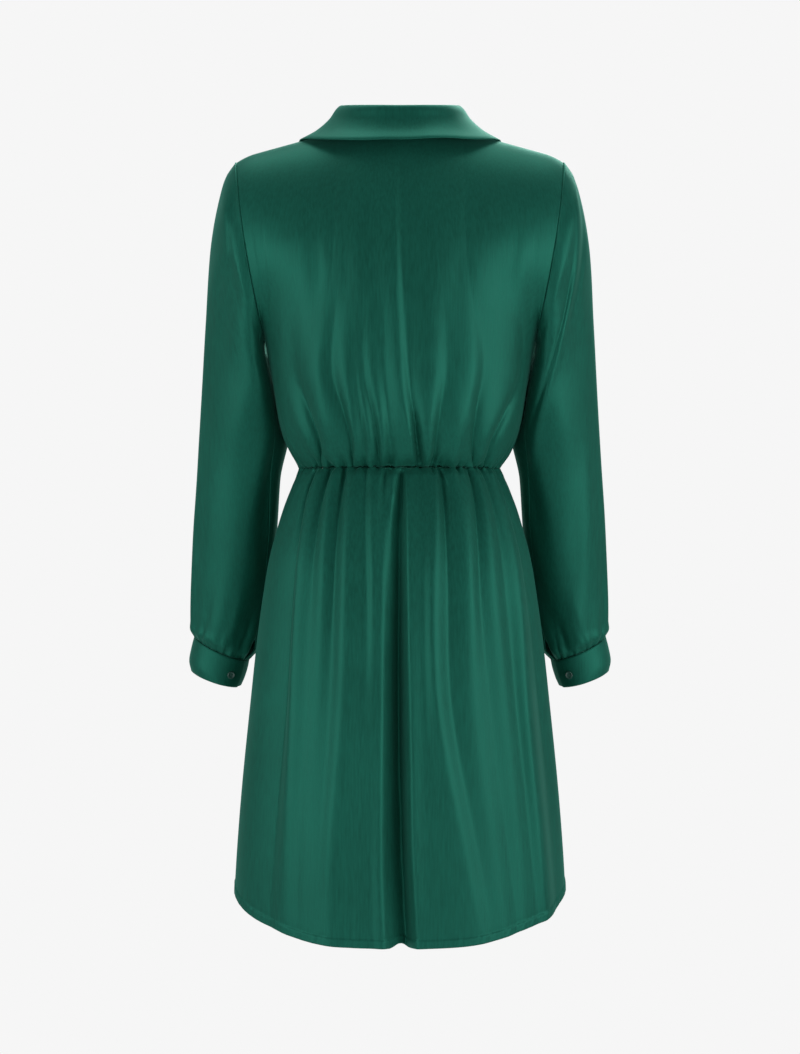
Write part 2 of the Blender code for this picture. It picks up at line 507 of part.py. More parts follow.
def sleeve_point(place, turn):
    turn_on = turn % 1.0
    ring = ring_between(SLEEVE_RINGS, place)
    joined = 1 - ease(place / 0.083)
    point = sleeve_ring_point(ring, turn_on).lerp(armhole_point(turn_on), joined)
    middle = Vector(((ring.outer_x + ring.inner_x) / 2, ring.middle_y, (ring.outer_z + ring.inner_z) / 2)) * MM
    out = (point - middle).normalized()
    rise = crease_rise(place, turn_on, SLEEVE_LENGTH, SLEEVE_GIRTH) * (1 - joined)
    near_cuff = ease((place - 1 + SLEEVE_GATHER_REACH) / SLEEVE_GATHER_REACH)
    swell = math.sin(math.pi * near_cuff) * 2.0 * MM
    rise += swell + near_cuff * SLEEVE_GATHER_RISE * math.cos(2 * math.pi * SLEEVE_GATHERS * turn_on)
    point += out * rise
    point.x -= sleeve_lean(place, turn_on)
    point = keep_clear(point)
    point.x += (SEAM_GAP + CLOTH * 0.6) * joined
    return point


# ---------------------------------------------------------------- the collar's form (millimetres)
# Stations from the middle of the back round to the front end: where the collar is sewn on,
# where it rolls over, and its free edge. The other half is the mirror image.
CollarStation = namedtuple("CollarStation", "share seam_x seam_y seam_z roll_x roll_y roll_z edge_x edge_y edge_z")
COLLAR = [
    CollarStation(0.00, 0, 60, 5.8, 0, 62, 36.6, 0, 86, -5),
    CollarStation(0.18, 27, 55.5, 7.2, 25, 58, 37.2, 38, 82, -3.7),
    CollarStation(0.36, 53, 39, 10.5, 48, 41, 39, 80, 60, -1.9),
    CollarStation(0.50, 67, 14, 14.8, 60.5, 15, 41.4, 108, 26, 2),
    CollarStation(0.62, 69.5, -6, 15.6, 62.5, -8, 41.6, 116, -10, 2.4),
    CollarStation(0.76, 66, -48, 0, 61, -51, 19, 114, -47, -5),
    CollarStation(0.90, 57.5, -79, -31, 54.5, -84, -19, 106, -73, -34),
    CollarStation(1.00, 49, -96, -59, 48.5, -101, -54, 95, -96, -72),
]
# The profile from the seam over the roll to the free edge: how far along stand or fall, and
# how far it bows out from the straight line there.
ProfilePoint = namedtuple("ProfilePoint", "stand fall bow")
COLLAR_PROFILE = [
    ProfilePoint(0.0, 0.0, 0.0),
    ProfilePoint(0.35, 0.0, 0.6),
    ProfilePoint(0.7, 0.0, 0.4),
    ProfilePoint(0.93, 0.0, 0.0),
    ProfilePoint(1.0, 0.06, 2.6),
    ProfilePoint(1.0, 0.17, 2.4),
    ProfilePoint(1.0, 0.40, -2.2),
    ProfilePoint(1.0, 0.70, -3.4),
    ProfilePoint(1.0, 1.0, 0.0),
]
COLLAR_WAVE = 1.0 * MM


def collar_point(share, k):
    """A point of the collar; share is -1 to 1 round the neck, + to the left, k a place in the profile."""
    shares = column(COLLAR, "share", 1)
    side, at = math.copysign(1, share), abs(share)

    def on(name):
        axes = (through(shares, column(COLLAR, f"{name}_{axis}"), at) for axis in "xyz")
        return Vector(axes)

    seam, roll, edge = on("seam"), on("roll"), on("edge")
    rows = list(range(len(COLLAR_PROFILE)))
    stand, fall, bow = (through(rows, column(COLLAR_PROFILE, name, 1), k) for name in ("stand", "fall", "bow"))
    away = (edge - roll).normalized()
    height = min(1.0, (roll - seam).length / (28 * MM))
    up = (roll - seam).normalized() if height > 0.3 else Vector((0, 0, 1))
    outward_bow = (away + up).normalized()
    point = seam.lerp(roll, stand) + (edge - roll) * fall + outward_bow * (bow * MM * mix(0.55, 1.0, height))
    wave = (-math.sin(share * 7.3) + 0.35 * math.sin(share * 21.0 + 0.5)) * ease((0.62 - at) / 0.14)
    point.z += COLLAR_WAVE * wave * fall**2
    return Vector((point.x * side, point.y, point.z))


# ---------------------------------------------------------------- making walls
def outward(surface, a, b, step_a, step_b):
    """The surface's normal at (a, b), by its neighbours on both sides."""
    da = surface(a + step_a, b) - surface(a - step_a, b)
    db = surface(a, b + step_b) - surface(a, b - step_b)
    return da.cross(db).normalized()


def facet_normals(middles, towards, closed=False):
    """Normals at a grid's points, averaged over the cells round each. towards gives a point's
    rough outward direction, which settles their sign."""
    rows, columns = len(middles), len(middles[0])
    totals = [[Vector() for _ in range(columns)] for _ in range(rows)]
    for i in range(rows - 1):
        for j in range(columns - 1):
            corners = ((i, j), (i, j + 1), (i + 1, j + 1), (i + 1, j))
            for k in range(4):
                here, after, before = corners[k], corners[(k + 1) % 4], corners[k - 1]
                point = middles[here[0]][here[1]]
                one = (middles[after[0]][after[1]] - point).normalized()
                two = (middles[before[0]][before[1]] - point).normalized()
                totals[here[0]][here[1]] += one.cross(two)
    if closed:
        for row in totals:
            row[0] = row[0] + row[-1]
            row[-1] = row[0].copy()
    middle = rows // 2, columns // 2
    sign = math.copysign(1, totals[middle[0]][middle[1]].dot(towards(middles[middle[0]][middle[1]])))
    return [[(total * sign).normalized() for total in row] for row in totals]


def wall(name, middles, normals, thickness, material, slit_from=None):
    """A closed wall from a grid of mid-surface points, given as rows, and their outward normals.
    With slit_from the rows close into a tube, which stays open from that row on."""
    rows, columns = len(middles), len(middles[0])
    half = thickness / 2
    points = []
    for side in (half, -half):
        for i in range(rows):
            points += [middles[i][j] + normals[i][j] * side for j in range(columns)]

    def at(side, i, j):
        if slit_from is not None and j == columns - 1 and i <= slit_from:
            j = 0
        return side * rows * columns + i * columns + j

    faces = []
    for i in range(rows - 1):
        for j in range(columns - 1):
            # Both sides of a cell are split along its same, shorter diagonal.
            falling = (middles[i][j] - middles[i + 1][j + 1]).length
            rising = (middles[i][j + 1] - middles[i + 1][j]).length
            corners = [(i, j), (i, j + 1), (i + 1, j + 1), (i + 1, j)]
            if rising < falling:
                corners = corners[1:] + corners[:1]
            a, b, c, d = corners
            for triangle in ((a, b, c), (a, c, d)):
                faces.append(tuple(at(0, *corner) for corner in triangle))
                faces.append(tuple(at(1, *corner) for corner in triangle[::-1]))
    for i in range(slit_from or 0, rows - 1):
        last = columns - 1
        faces.append((at(0, i, 0), at(0, i + 1, 0), at(1, i + 1, 0), at(1, i, 0)))
        faces.append((at(0, i, last), at(1, i, last), at(1, i + 1, last), at(0, i + 1, last)))
    for j in range(columns - 1):
        last = rows - 1
        faces.append((at(0, 0, j), at(1, 0, j), at(1, 0, j + 1), at(0, 0, j + 1)))
        faces.append((at(0, last, j), at(0, last, j + 1), at(1, last, j + 1), at(1, last, j)))
    used = sorted({k for face in faces for k in face})
    number = {k: n for n, k in enumerate(used)}
    faces = [tuple(number[k] for k in face) for face in faces]
    return solid(name, [points[k] for k in used], faces, material)


def solid(name, points, faces, material):
    mesh = bpy.data.meshes.new(name)
    mesh.from_pydata(points, [], faces)
    mesh.update()
    if volume_of(mesh) < 0:
        mesh.flip_normals()
    mesh.shade_smooth()
    mesh.set_sharp_from_angle(angle=math.radians(50))
    obj = bpy.data.objects.new(name, mesh)
    obj.data.materials.append(material)
    bpy.context.scene.collection.objects.link(obj)
    return obj


def volume_of(mesh):
    mesh.calc_loop_triangles()
    points = [vertex.co for vertex in mesh.vertices]
    total = 0.0
    for triangle in mesh.loop_triangles:
        a, b, c = (points[k] for k in triangle.vertices)
        total += a.dot(b.cross(c))
    return total / 6


def principled(name, colour, roughness, sheen=0.0):
    material = bpy.data.materials.new(name)
    material.use_nodes = True
    shader = material.node_tree.nodes["Principled BSDF"]
    shader.inputs["Base Color"].default_value = (*colour, 1)
    shader.inputs["Roughness"].default_value = roughness
    shader.inputs["Metallic"].default_value = 0.0
    shader.inputs["Sheen Weight"].default_value = sheen
    return material


# ---------------------------------------------------------------- panels
BODICE_ROWS = (0.0, 0.05, 0.12, 0.22, 0.36, 0.55, 0.78, 1.0, 1.035, 1.11, 1.24, 1.42, 1.62, 1.8, 1.92, 2.0)
SKIRT_ROWS = (0.0, 0.016, 0.04, 0.085, 0.16, 0.28, 0.44, 0.62, 0.8, 0.93, 1.0)
SLEEVE_ROWS = (0.0, 0.042, 0.083, 0.15, 0.24, 0.33, 0.42, 0.52, 0.62, 0.73, 0.83, 0.885, 0.94, 0.975, 1.0)
SLEEVE_COLUMNS = 28
SIDE_INSET = 0.0015


def with_middles(values):
    """The values with one more halfway between each two."""
    filled = [values[0]]
    for low, high in zip(values, values[1:]):
        filled += [(low + high) / 2, high]
    return filled


def line_turns(folds, levels, z, low, high):
    """The places of the fold lines that lie between two edges at the waist, and those edges'."""
    at_waist = fold_places(folds, levels, levels[0] * MM)
    keep = [k for k, (turn, _) in enumerate(at_waist) if low[0] + 0.03 < turn < high[0] - 0.03]
    here = fold_places(folds, levels, z)
    return [low[1], *(here[k][0] for k in keep), high[1]]


def from_axis(point):
    return Vector((point.x, point.y - SIDE_Y, 0))


def grid(surface, rows_of_places, sides):
    """Mid-surface points and outward normals at rows of (a, b) places. The top or bottom row, at
    the waist, faces straight out from the body, and side seams straight out to the side."""
    middles = [[surface(a, b) for a, b in row] for row in rows_of_places]
    normals = facet_normals(middles, from_axis)
    for i, row in enumerate(normals):
        if i == 0:
            row[:] = [Vector((out.x, out.y, 0)).normalized() for out in row]
        for j, seam in ((0, sides[0]), (-1, sides[1])):
            if seam and seam(i):
                row[j] = Vector((row[j].x, 0, 0)).normalized()
    return middles, normals


def below_underarm(i):
    return BODICE_ROWS[i] <= 1.0


def bodice_grid(front, folds, low, high, top, lift, sides):
    """low and high give the edges' u at a height v; top holds the columns' u at the shoulder."""

    def surface(u, v):
        bound = max(-1.0, min(1.0, u))
        return bodice_point(bound, min(max(v, 0.0), 2.0), front, folds, lift(bound))

    rows = []
    for v in BODICE_ROWS:
        z = mix(WAIST_Z, UNDERARM_Z, v)
        at_waist = low(0.0) * math.pi / 2, high(0.0) * math.pi / 2
        edges = [(at_waist[0], at_waist[0]), (at_waist[1], at_waist[1])]
        lines = line_turns(folds, BODICE_LEVELS, z, *edges)
        shares = [(turn - at_waist[0]) / (at_waist[1] - at_waist[0]) for turn in lines]
        lines = [mix(low(v), high(v), min(1.0, max(0.0, share))) for share in shares]
        even = top(v, len(lines))
        spread = ease((v - 0.25) / 1.2)
        rows.append([(mix(a, b, spread), v) for a, b in zip(lines, even)])
    return grid(surface, rows, sides)


def make_bodice_back(material):
    edge = 1 - SIDE_INSET

    def top(_, count):
        neck = round(count * NECK_SHARE / 2) * 2 + 1
        shoulder = (count - neck) // 2
        return (
            [mix(-edge, -NECK_SHARE, k / shoulder) for k in range(shoulder)]
            + [mix(-NECK_SHARE, NECK_SHARE, k / (neck - 1)) for k in range(neck)]
            + [mix(NECK_SHARE, edge, (k + 1) / shoulder) for k in range(shoulder)]
        )

    sides = (below_underarm, below_underarm)
    middles, normals = bodice_grid(
        False, BODICE_BACK_FOLDS, lambda v: -edge, lambda v: edge, top, lambda u: 0.0, sides
    )
    shift(middles[0], 2, SEAM_GAP / 2)
    shift(middles[-1], 1, SEAM_GAP / 2)
    square_shoulders(normals)
    return wall("bodice_back", middles, normals, CLOTH, material)


def square_shoulders(normals):
    normals[-1] = [Vector((out.x, 0, abs(out.z) + 0.05)).normalized() for out in normals[-1]]


def wrap_edge(v, side):
    """u of the wrap edge of a front whose own side is side (+1 left), at a height v."""
    heights, places = column(BODICE_EDGE, "z"), column(BODICE_EDGE, "x")
    low, high = -0.9, 1.0
    for _ in range(30):
        middle = (low + high) / 2
        point = bodice_point(middle * side, v, True, ())
        if point.x * side < through(heights, places, point.z):
            low = middle
        else:
            high = middle
    return low * side


def front_lift(side, over):
    step = WRAP_STEP / 2 if over else -WRAP_STEP / 2
    return lambda u: step * ease((1 - u * side) / 0.3)


def make_bodice_front(name, side, material):
    over = side < 0
    edge = (1 - SIDE_INSET) * side
    wrap = {v: wrap_edge(v, side) for v in BODICE_ROWS}

    def top(v, count):
        ends = sorted((wrap[v], edge))
        return [mix(*ends, k / (count - 1)) for k in range(count)]

    ends = (lambda v: edge, lambda v: wrap[v]) if side < 0 else (lambda v: wrap[v], lambda v: edge)
    sides = (below_underarm, None) if side < 0 else (None, below_underarm)
    middles, normals = bodice_grid(True, BODICE_FRONT_FOLDS, *ends, top, front_lift(side, over), sides)
    shift(middles[0], 2, SEAM_GAP / 2)
    shift(middles[-1], 1, -SEAM_GAP / 2)
    square_shoulders(normals)
    return wall(name, middles, normals, CLOTH, material)


def shift(points, axis, distance):
    for point in points:
        point[axis] += distance


# Where the fronts of the skirt end, across the front at each level, for the left-hand wearer's
# side: the over front's edge and the under front's edge.
SKIRT_OVER_EDGE = (0.737, 0.700, 0.670, 0.645, 0.635)
SKIRT_UNDER_EDGE = (-0.737, -0.755, -0.775, -0.790, -0.795)
HEM_CORNER = 60 * MM
HEM_NOTCH = 5 * MM
HEM_NOTCH_WIDTH = 0.05


def skirt_edge_turn(edge, z):
    return across_to_turn(through([level * MM for level in SKIRT_LEVELS], edge, z))


def make_skirt_panel(name, front, low, high, lift, corner, sides, material):
    """low and high give the edges' turns at a height. corner is the turn of a rounded hem corner."""
    folds = SKIRT_FRONT_FOLDS if front else SKIRT_BACK_FOLDS

    def height(turn, v):
        bottom = hem_z(math.pi - turn if front else turn)
        if not front:
            bottom += HEM_NOTCH * ease(1 - abs(turn) / HEM_NOTCH_WIDTH)
        if corner is not None:
            away = HEM_CORNER - min(HEM_CORNER, abs(turn - corner) * 158 * MM)
            bottom += HEM_CORNER - math.sqrt(max(0.0, HEM_CORNER**2 - away**2))
        return mix(WAIST_Z - SEAM_GAP / 2, bottom, v)

    def surface(turn, v):
        turn = max(-math.pi / 2, min(math.pi / 2, turn))
        z = height(turn, max(v, 0.0))
        return skirt_point(math.pi - turn if front else turn, z, lift(turn / (math.pi / 2)))

    rows = []
    for v in SKIRT_ROWS:
        z = mix(WAIST_Z, -900 * MM, v)
        edges = [(low(WAIST_Z), low(z)), (high(WAIST_Z), high(z))]
        rows.append([(turn, v) for turn in with_middles(line_turns(folds, SKIRT_LEVELS, z, *edges))])
    middles, normals = grid(surface, rows, sides)
    return wall(name, middles, normals, CLOTH, material)


def make_skirts(material):
    side = (1 - SIDE_INSET) * math.pi / 2

    def seam(_):
        return True

    def over_edge(z):
        return skirt_edge_turn(SKIRT_OVER_EDGE, z)

    def under_edge(z):
        return skirt_edge_turn(SKIRT_UNDER_EDGE, z)

    make_skirt_panel(
        "skirt_back", False, lambda z: -side, lambda z: side, lambda u: 0.0, None, (seam, seam), material
    )
    hem = -900 * MM
    make_skirt_panel(
        "skirt_front_right", True, lambda z: -side, over_edge, front_lift(-1, True), over_edge(hem),
        (seam, None), material,
    )
    make_skirt_panel(
        "skirt_front_left", True, under_edge, lambda z: side, front_lift(1, False), under_edge(hem),
        (None, seam), material,
    )


def make_sleeve(name, side, material):
    """A tube from the armhole to the cuff, open along the underarm seam above the cuff."""
    open_from = next(k for k, place in enumerate(SLEEVE_ROWS) if (1 - place) * SLEEVE_LENGTH <= SLIT_LENGTH)

    def surface(turn, place):
        return sleeve_point(min(max(place, 0.0), 1.0), turn)

    middles = []
    for i, place in enumerate(SLEEVE_ROWS):
        spread = 0.0
        if i > open_from:
            along = (place - SLEEVE_ROWS[open_from]) / (1 - SLEEVE_ROWS[open_from])
            spread = math.sin(math.pi * (0.12 + 0.88 * along) ** 0.8) * SLIT_GAP / 2 + 0.8 * MM
        points = []
        for j in range(SLEEVE_COLUMNS + 1):
            turn = SLEEVE_SEAM_TURN + j / SLEEVE_COLUMNS
            point = surface(turn, place)
            nearness = max(0.0, 1 - min(j, SLEEVE_COLUMNS - j) / 3)
            if spread and nearness:
                step = (surface(turn + 0.01, place) - surface(turn - 0.01, place)).normalized()
                point += step * spread * nearness * (1 if j < SLEEVE_COLUMNS / 2 else -1)
            points.append(point)
        middles.append(points)
    normals = facet_normals(middles, lambda point: Vector((point.x - SHOULDER_TIP_X, point.y, 0)), True)
    return wall(name, mirrored(middles, side), mirrored(normals, side), CLOTH, material, open_from)


def mirrored(rows, side):
    return [[Vector((point.x * side, point.y, point.z)) for point in row] for row in rows]


CUFF_COLUMNS = 34
CUFF_ROWS = (0.0, 0.3, 0.62, 0.86, 1.0)
CUFF_CLOTH = 1.6 * MM


def cuff_turn(share):
    """The turn of a place along the cuff's strip; 0 is the upper end of the lap."""
    return CUFF_END_TURN - share * (1 + CUFF_LAP)


def cuff_point(share, place):
    ring = ring_between(CUFF_RINGS, place)
    turn = cuff_turn(share)
    point = sleeve_ring_point(ring, turn)
    middle = Vector(((ring.outer_x + ring.inner_x) / 2, ring.middle_y, (ring.outer_z + ring.inner_z) / 2)) * MM
    out = (point - middle).normalized()
    strip = 1 + CUFF_LAP
    upper = 1 - ease((share * strip - CUFF_LAP - 0.02) / 0.08)
    under = ease((share * strip - 0.90) / 0.08)
    return point + out * CUFF_LAP_STEP / 2 * (upper - under)


def cuff_out(share, place):
    return outward(cuff_point, share, place, 0.004, 0.004)


def make_cuff(name, side, material):
    row = [k / CUFF_COLUMNS for k in range(CUFF_COLUMNS + 1)]
    middles = [[cuff_point(share, place) for share in row] for place in CUFF_ROWS]
    normals = facet_normals(middles, from_axis)
    return wall(name, mirrored(middles, side), mirrored(normals, side), CUFF_CLOTH, material)


BUTTON_SHARE = 0.072
BUTTON_PLACE = 0.55
BUTTON_PROFILE = (
    (0.0, 0.62), (0.50, 0.62), (0.68, 0.80), (0.80, 1.0), (0.93, 0.92), (1.0, 0.5), (0.9, 0.06), (0.0, 0.0),
)
BUTTON_SIDES = 24


def make_button(name, side, material):
    """A round button with a raised rim and a shallow dish, lying on the cuff."""
    centre = cuff_point(BUTTON_SHARE, BUTTON_PLACE)
    out = cuff_out(BUTTON_SHARE, BUTTON_PLACE)
    across = out.cross(Vector((0, 0, 1))).normalized()
    upward = across.cross(out).normalized()
    base = centre + out * (CUFF_CLOTH / 2 + SEAM_GAP + 0.35 * MM)
    points, faces = [], []
    for radius, height in BUTTON_PROFILE[1:-1]:
        for k in range(BUTTON_SIDES):
            angle = 2 * math.pi * k / BUTTON_SIDES
            flat = across * math.cos(angle) + upward * math.sin(angle)
            points.append(base + flat * radius * BUTTON_RADIUS + out * height * BUTTON_THICKNESS)
    rings = len(BUTTON_PROFILE) - 2
    for i in range(rings - 1):
        for k in range(BUTTON_SIDES):
            n = (k + 1) % BUTTON_SIDES
            faces.append((i * BUTTON_SIDES + k, i * BUTTON_SIDES + n, (i + 1) * BUTTON_SIDES + n, (i + 1) * BUTTON_SIDES + k))
    faces.append(tuple(range(BUTTON_SIDES))[::-1])
    faces.append(tuple((rings - 1) * BUTTON_SIDES + k for k in range(BUTTON_SIDES)))
    points = [Vector((point.x * side, point.y, point.z)) for point in points]
    return solid(name, points, faces, material)


COLLAR_COLUMNS = 36


def make_collar(material):
    last = len(COLLAR_PROFILE) - 1
    shares = [-1 + 2 * j / COLLAR_COLUMNS for j in range(COLLAR_COLUMNS + 1)]
    middles = [[collar_point(share, k) for k in range(last + 1)] for share in shares]
    normals = facet_normals(middles, from_axis)
    return wall("collar", middles, normals, COLLAR_CLOTH, material)


def main():
    for obj in list(bpy.data.objects):
        bpy.data.objects.remove(obj)
    satin = principled("dress_satin", DRESS_GREEN, 0.42, sheen=0.3)
    pearl = principled("button_pearl", BUTTON_GREEN, 0.2)
    make_bodice_back(satin)
    make_bodice_front("bodice_front_left", 1, satin)
    make_bodice_front("bodice_front_right", -1, satin)
    make_collar(satin)
    make_skirts(satin)
    for name, side in (("left", 1), ("right", -1)):
        make_sleeve(f"sleeve_{name}", side, satin)
        make_cuff(f"cuff_{name}", side, satin)
        make_button(f"button_{name}", side, pearl)


main()
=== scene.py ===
"""The looks of the wrap dress: satin panels, gathers, turned hems, cuffs and pearly buttons.

Metres, +Z up. +Y is the wearer's back, -Y the front and +X the wearer's left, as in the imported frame.
Every panel is a thin shell: a mid surface given by a function, moved out and in by half the cloth.
"""

import math
from collections import namedtuple

import bpy
import numpy as np
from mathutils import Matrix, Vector


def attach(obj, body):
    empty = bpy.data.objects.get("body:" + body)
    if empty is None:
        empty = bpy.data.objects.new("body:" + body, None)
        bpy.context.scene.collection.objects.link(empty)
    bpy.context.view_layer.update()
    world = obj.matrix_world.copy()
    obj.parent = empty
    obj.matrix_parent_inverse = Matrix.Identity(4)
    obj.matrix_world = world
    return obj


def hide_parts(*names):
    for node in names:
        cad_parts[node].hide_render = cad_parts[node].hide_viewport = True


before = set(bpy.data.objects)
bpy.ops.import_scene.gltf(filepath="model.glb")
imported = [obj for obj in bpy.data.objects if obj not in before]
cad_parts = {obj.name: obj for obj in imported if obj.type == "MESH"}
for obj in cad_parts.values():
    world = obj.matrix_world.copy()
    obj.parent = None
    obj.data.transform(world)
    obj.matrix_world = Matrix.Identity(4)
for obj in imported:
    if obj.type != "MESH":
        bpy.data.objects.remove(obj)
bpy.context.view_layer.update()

MM = 0.001

# ---------------------------------------------------------------- driving sizes
CLOTH = 1.2 * MM
COLLAR_CLOTH = 1.5 * MM
SEAM_GAP = 0.3 * MM
WRAP_STEP = 3.4 * MM  # between the two fronts where they lie over each other

WAIST_Z = -374 * MM
UNDERARM_Z = -228 * MM
SIDE_Y = -4 * MM  # the side seams and the shoulder seams lie a little forward of the middle

NECK_HALF_WIDTH = 70 * MM
NECK_SIDE_Z = 13 * MM
BACK_NECK_Y = 60 * MM
BACK_NECK_Z = 4 * MM
WRAP_STEP_TOP = -120 * MM  # the fronts no longer lie over each other here
WRAP_STEP_FULL = -200 * MM
NECK_SHARE = 0.4  # the share of a panel's half width that ends at the neck and not the shoulder

SHOULDER_TIP_X = 188 * MM
SHOULDER_SLOPE = 0.27
SHOULDER_ROUND_X = 165 * MM  # past here the shoulder seam falls away over the arm
SHOULDER_ROUND_DROP = 4.5 * MM
SHOULDER_SQUARENESS = 2.4

ARMHOLE_BACK_DEPTH = 62 * MM
ARMHOLE_FRONT_DEPTH = 56 * MM
ARMHOLE_BACK_BOW = 4 * MM
ARMHOLE_FRONT_BOW = -8 * MM

RING_SQUARENESS = 2.2
RIDGE_LIMIT = 0.95  # how far out the neckline may lie on the curve over the shoulders
CUT_HOLD = 6  # how closely the armhole's cut keeps to the side of a panel at the underarm
CUT_HOLD_TOP = 0.5  # and how far up the armhole it does

# ---------------------------------------------------------------- sections and folds (millimetres)
Section = namedtuple("Section", "z half_width back front")
BODICE_SECTIONS = [
    Section(-374, 114.5, 79, -85),
    Section(-366, 119, 85, -91),
    Section(-359, 124, 90, -95),
    Section(-347, 130, 95.5, -101),
    Section(-337, 134, 99, -105),
    Section(-318, 139, 103, -111),
    Section(-282, 145, 106, -119),
    Section(-250, 151, 107.5, -124),
    Section(-228, 154, 108, -126),
]
SKIRT_SECTIONS = [
    Section(-374, 114.5, 79, -85),
    Section(-384, 118.5, 84, -89),
    Section(-396, 124, 89, -93),
    Section(-417, 132, 97, -99),
    Section(-444, 140, 105, -104),
    Section(-476, 148, 112, -109),
    Section(-514, 154, 117, -112),
    Section(-561, 160, 121, -115),
    Section(-641, 168, 124, -118),
    Section(-747, 178.5, 127, -122),
    Section(-838, 185.5, 129, -125),
    Section(-925, 190, 130, -127),
]

# The height of the hem round the skirt, from the middle of the back or front (0) to a side seam (1).
HemPoint = namedtuple("HemPoint", "share back_z front_z")
HEM = [
    HemPoint(0, -911, -890),
    HemPoint(0.2, -909, -889),
    HemPoint(0.3, -906, -887),
    HemPoint(0.41, -900, -883),
    HemPoint(0.515, -893, -878),
    HemPoint(0.64, -885, -871),
    HemPoint(0.755, -875, -862),
    HemPoint(0.84, -865, -852),
    HemPoint(0.917, -853, -841),
    HemPoint(1, -832, -828),
]

# A fold line is a ridge or a valley: its place across the panel, as a share of the half width
# (+ is the wearer's left), and how far it stands out there, at each level from the waist.
# crisp is how sharply the cloth turns there, from 0 for round to 1 for a straight-sided fold.
Fold = namedtuple("Fold", "across rise crisp", defaults=(0.0,))
SKIRT_LEVELS = (-385, -500, -640, -810, -900)
SKIRT_BACK_FOLDS = [
    Fold((0.97, 0.975, 0.98, 0.98, 0.98), (1, 3.5, 5, 5, 4)),
    Fold((0.84, 0.79, 0.76, 0.765, 0.77), (-4, -6.5, -6, -4, -2.5)),
    Fold((0.783, 0.73, 0.69, 0.66, 0.64), (1.5, 3, 4.5, 2.5, 1)),
    Fold((0.673, 0.62, 0.59, 0.59, 0.58), (-3, -1, 1.5, 1.5, 1)),
    Fold((0.6, 0.54, 0.52, 0.53, 0.53), (2, 1.5, 2, 2.5, 2)),
    Fold((0.507, 0.453, 0.44, 0.46, 0.46), (-3.5, -2.5, 1, 3, 3)),
    Fold((0.396, 0.36, 0.343, 0.38, 0.38), (2, 4, 6, 6, 4.5)),
    Fold((0.286, 0.215, 0.2, 0.23, 0.24), (-1.5, -0.5, 1, 0.5, 0)),
    Fold((0.221, 0.166, 0.15, 0.15, 0.14), (1.5, 3, 1.5, -1, -2)),
    Fold((0.12, 0.112, 0.105, 0.1, 0.085), (-2.5, 1.5, 1, 0.5, 0.5)),
    Fold((0.055, 0.05, 0.048, 0.05, 0.04), (1.5, -7, -13, -12, -9), 0.4),
    Fold((-0.012, 0.004, 0.008, -0.01, -0.026), (-6, -19, -29, -29, -25), 0.3),
    Fold((-0.045, -0.045, -0.052, -0.062, -0.085), (1.5, 2, 3, 2.5, 1), 0.6),
    Fold((-0.166, -0.135, -0.13, -0.13, -0.13), (-0.5, 1, 1, 1, 0.5)),
    Fold((-0.286, -0.204, -0.206, -0.35, -0.44), (2, 5, 5.5, 3.5, 2)),
    Fold((-0.36, -0.32, -0.31, -0.45, -0.53), (-3, -3.5, -2.5, -0.5, 0)),
    Fold((-0.507, -0.475, -0.46, -0.55, -0.6), (2, 3, 1, 0.5, 0.5)),
    Fold((-0.654, -0.56, -0.57, -0.64, -0.68), (-2.5, -2, -1, -1.5, -1.5)),
    Fold((-0.728, -0.66, -0.68, -0.72, -0.74), (1.5, 2, 2, 1, 0)),
    Fold((-0.793, -0.75, -0.745, -0.775, -0.8), (-1, -0.5, 1, 1, 0.5)),
    Fold((-0.866, -0.845, -0.81, -0.835, -0.86), (2, 6, 7.5, 6.5, 4.5)),
    Fold((-0.92, -0.925, -0.93, -0.93, -0.94), (-1, -1, -1.5, 1, 1)),
    Fold((-0.975, -0.98, -0.985, -0.985, -0.985), (1, 3, 4.5, 4.5, 3.5)),
]
SKIRT_FRONT_FOLDS = [
    Fold((0.965, 0.97, 0.975, 0.975, 0.975), (1, 3, 4, 4, 3)),
    Fold((0.88, 0.86, 0.85, 0.85, 0.85), (-2.5, -2.5, -2, -1, -1)),
    Fold((0.79, 0.77, 0.75, 0.74, 0.73), (2, 4, 5, 5, 4)),
    Fold((0.68, 0.64, 0.61, 0.59, 0.58), (-3.5, -4.5, -4, -3, -2)),
    Fold((0.56, 0.51, 0.47, 0.45, 0.44), (2, 3.5, 4.5, 5, 4)),
    Fold((0.43, 0.37, 0.33, 0.31, 0.3), (-3, -3.5, -3, -3, -2)),
    Fold((0.3, 0.23, 0.19, 0.18, 0.17), (2, 2.5, 3, 3.5, 3)),
    Fold((0.16, 0.09, 0.05, 0.04, 0.04), (-3, -3, -3, -2, -1)),
    Fold((0.03, -0.05, -0.1, -0.11, -0.11), (2, 3, 4, 4.5, 4)),
    Fold((-0.11, -0.19, -0.24, -0.25, -0.25), (-3, -4, -4, -3.5, -2.5)),
    Fold((-0.24, -0.32, -0.37, -0.39, -0.39), (2, 3, 3.5, 3.5, 3)),
    Fold((-0.37, -0.45, -0.49, -0.51, -0.51), (-3, -2.5, -2, -1, 0)),
    Fold((-0.5, -0.57, -0.61, -0.63, -0.64), (2, 3.5, 4.5, 5, 4)),
    Fold((-0.63, -0.69, -0.72, -0.74, -0.75), (-3.5, -4.5, -4.5, -3.5, -2.5)),
    Fold((-0.77, -0.8, -0.82, -0.84, -0.85), (2, 4, 5, 4.5, 3.5)),
    Fold((-0.88, -0.9, -0.91, -0.92, -0.92), (-2.5, -2, -1.5, -1, -1)),
    Fold((-0.965, -0.97, -0.975, -0.975, -0.975), (1, 3, 4, 4, 3)),
]
BODICE_LEVELS = (-372, -345, -310, -270, -200, -100)
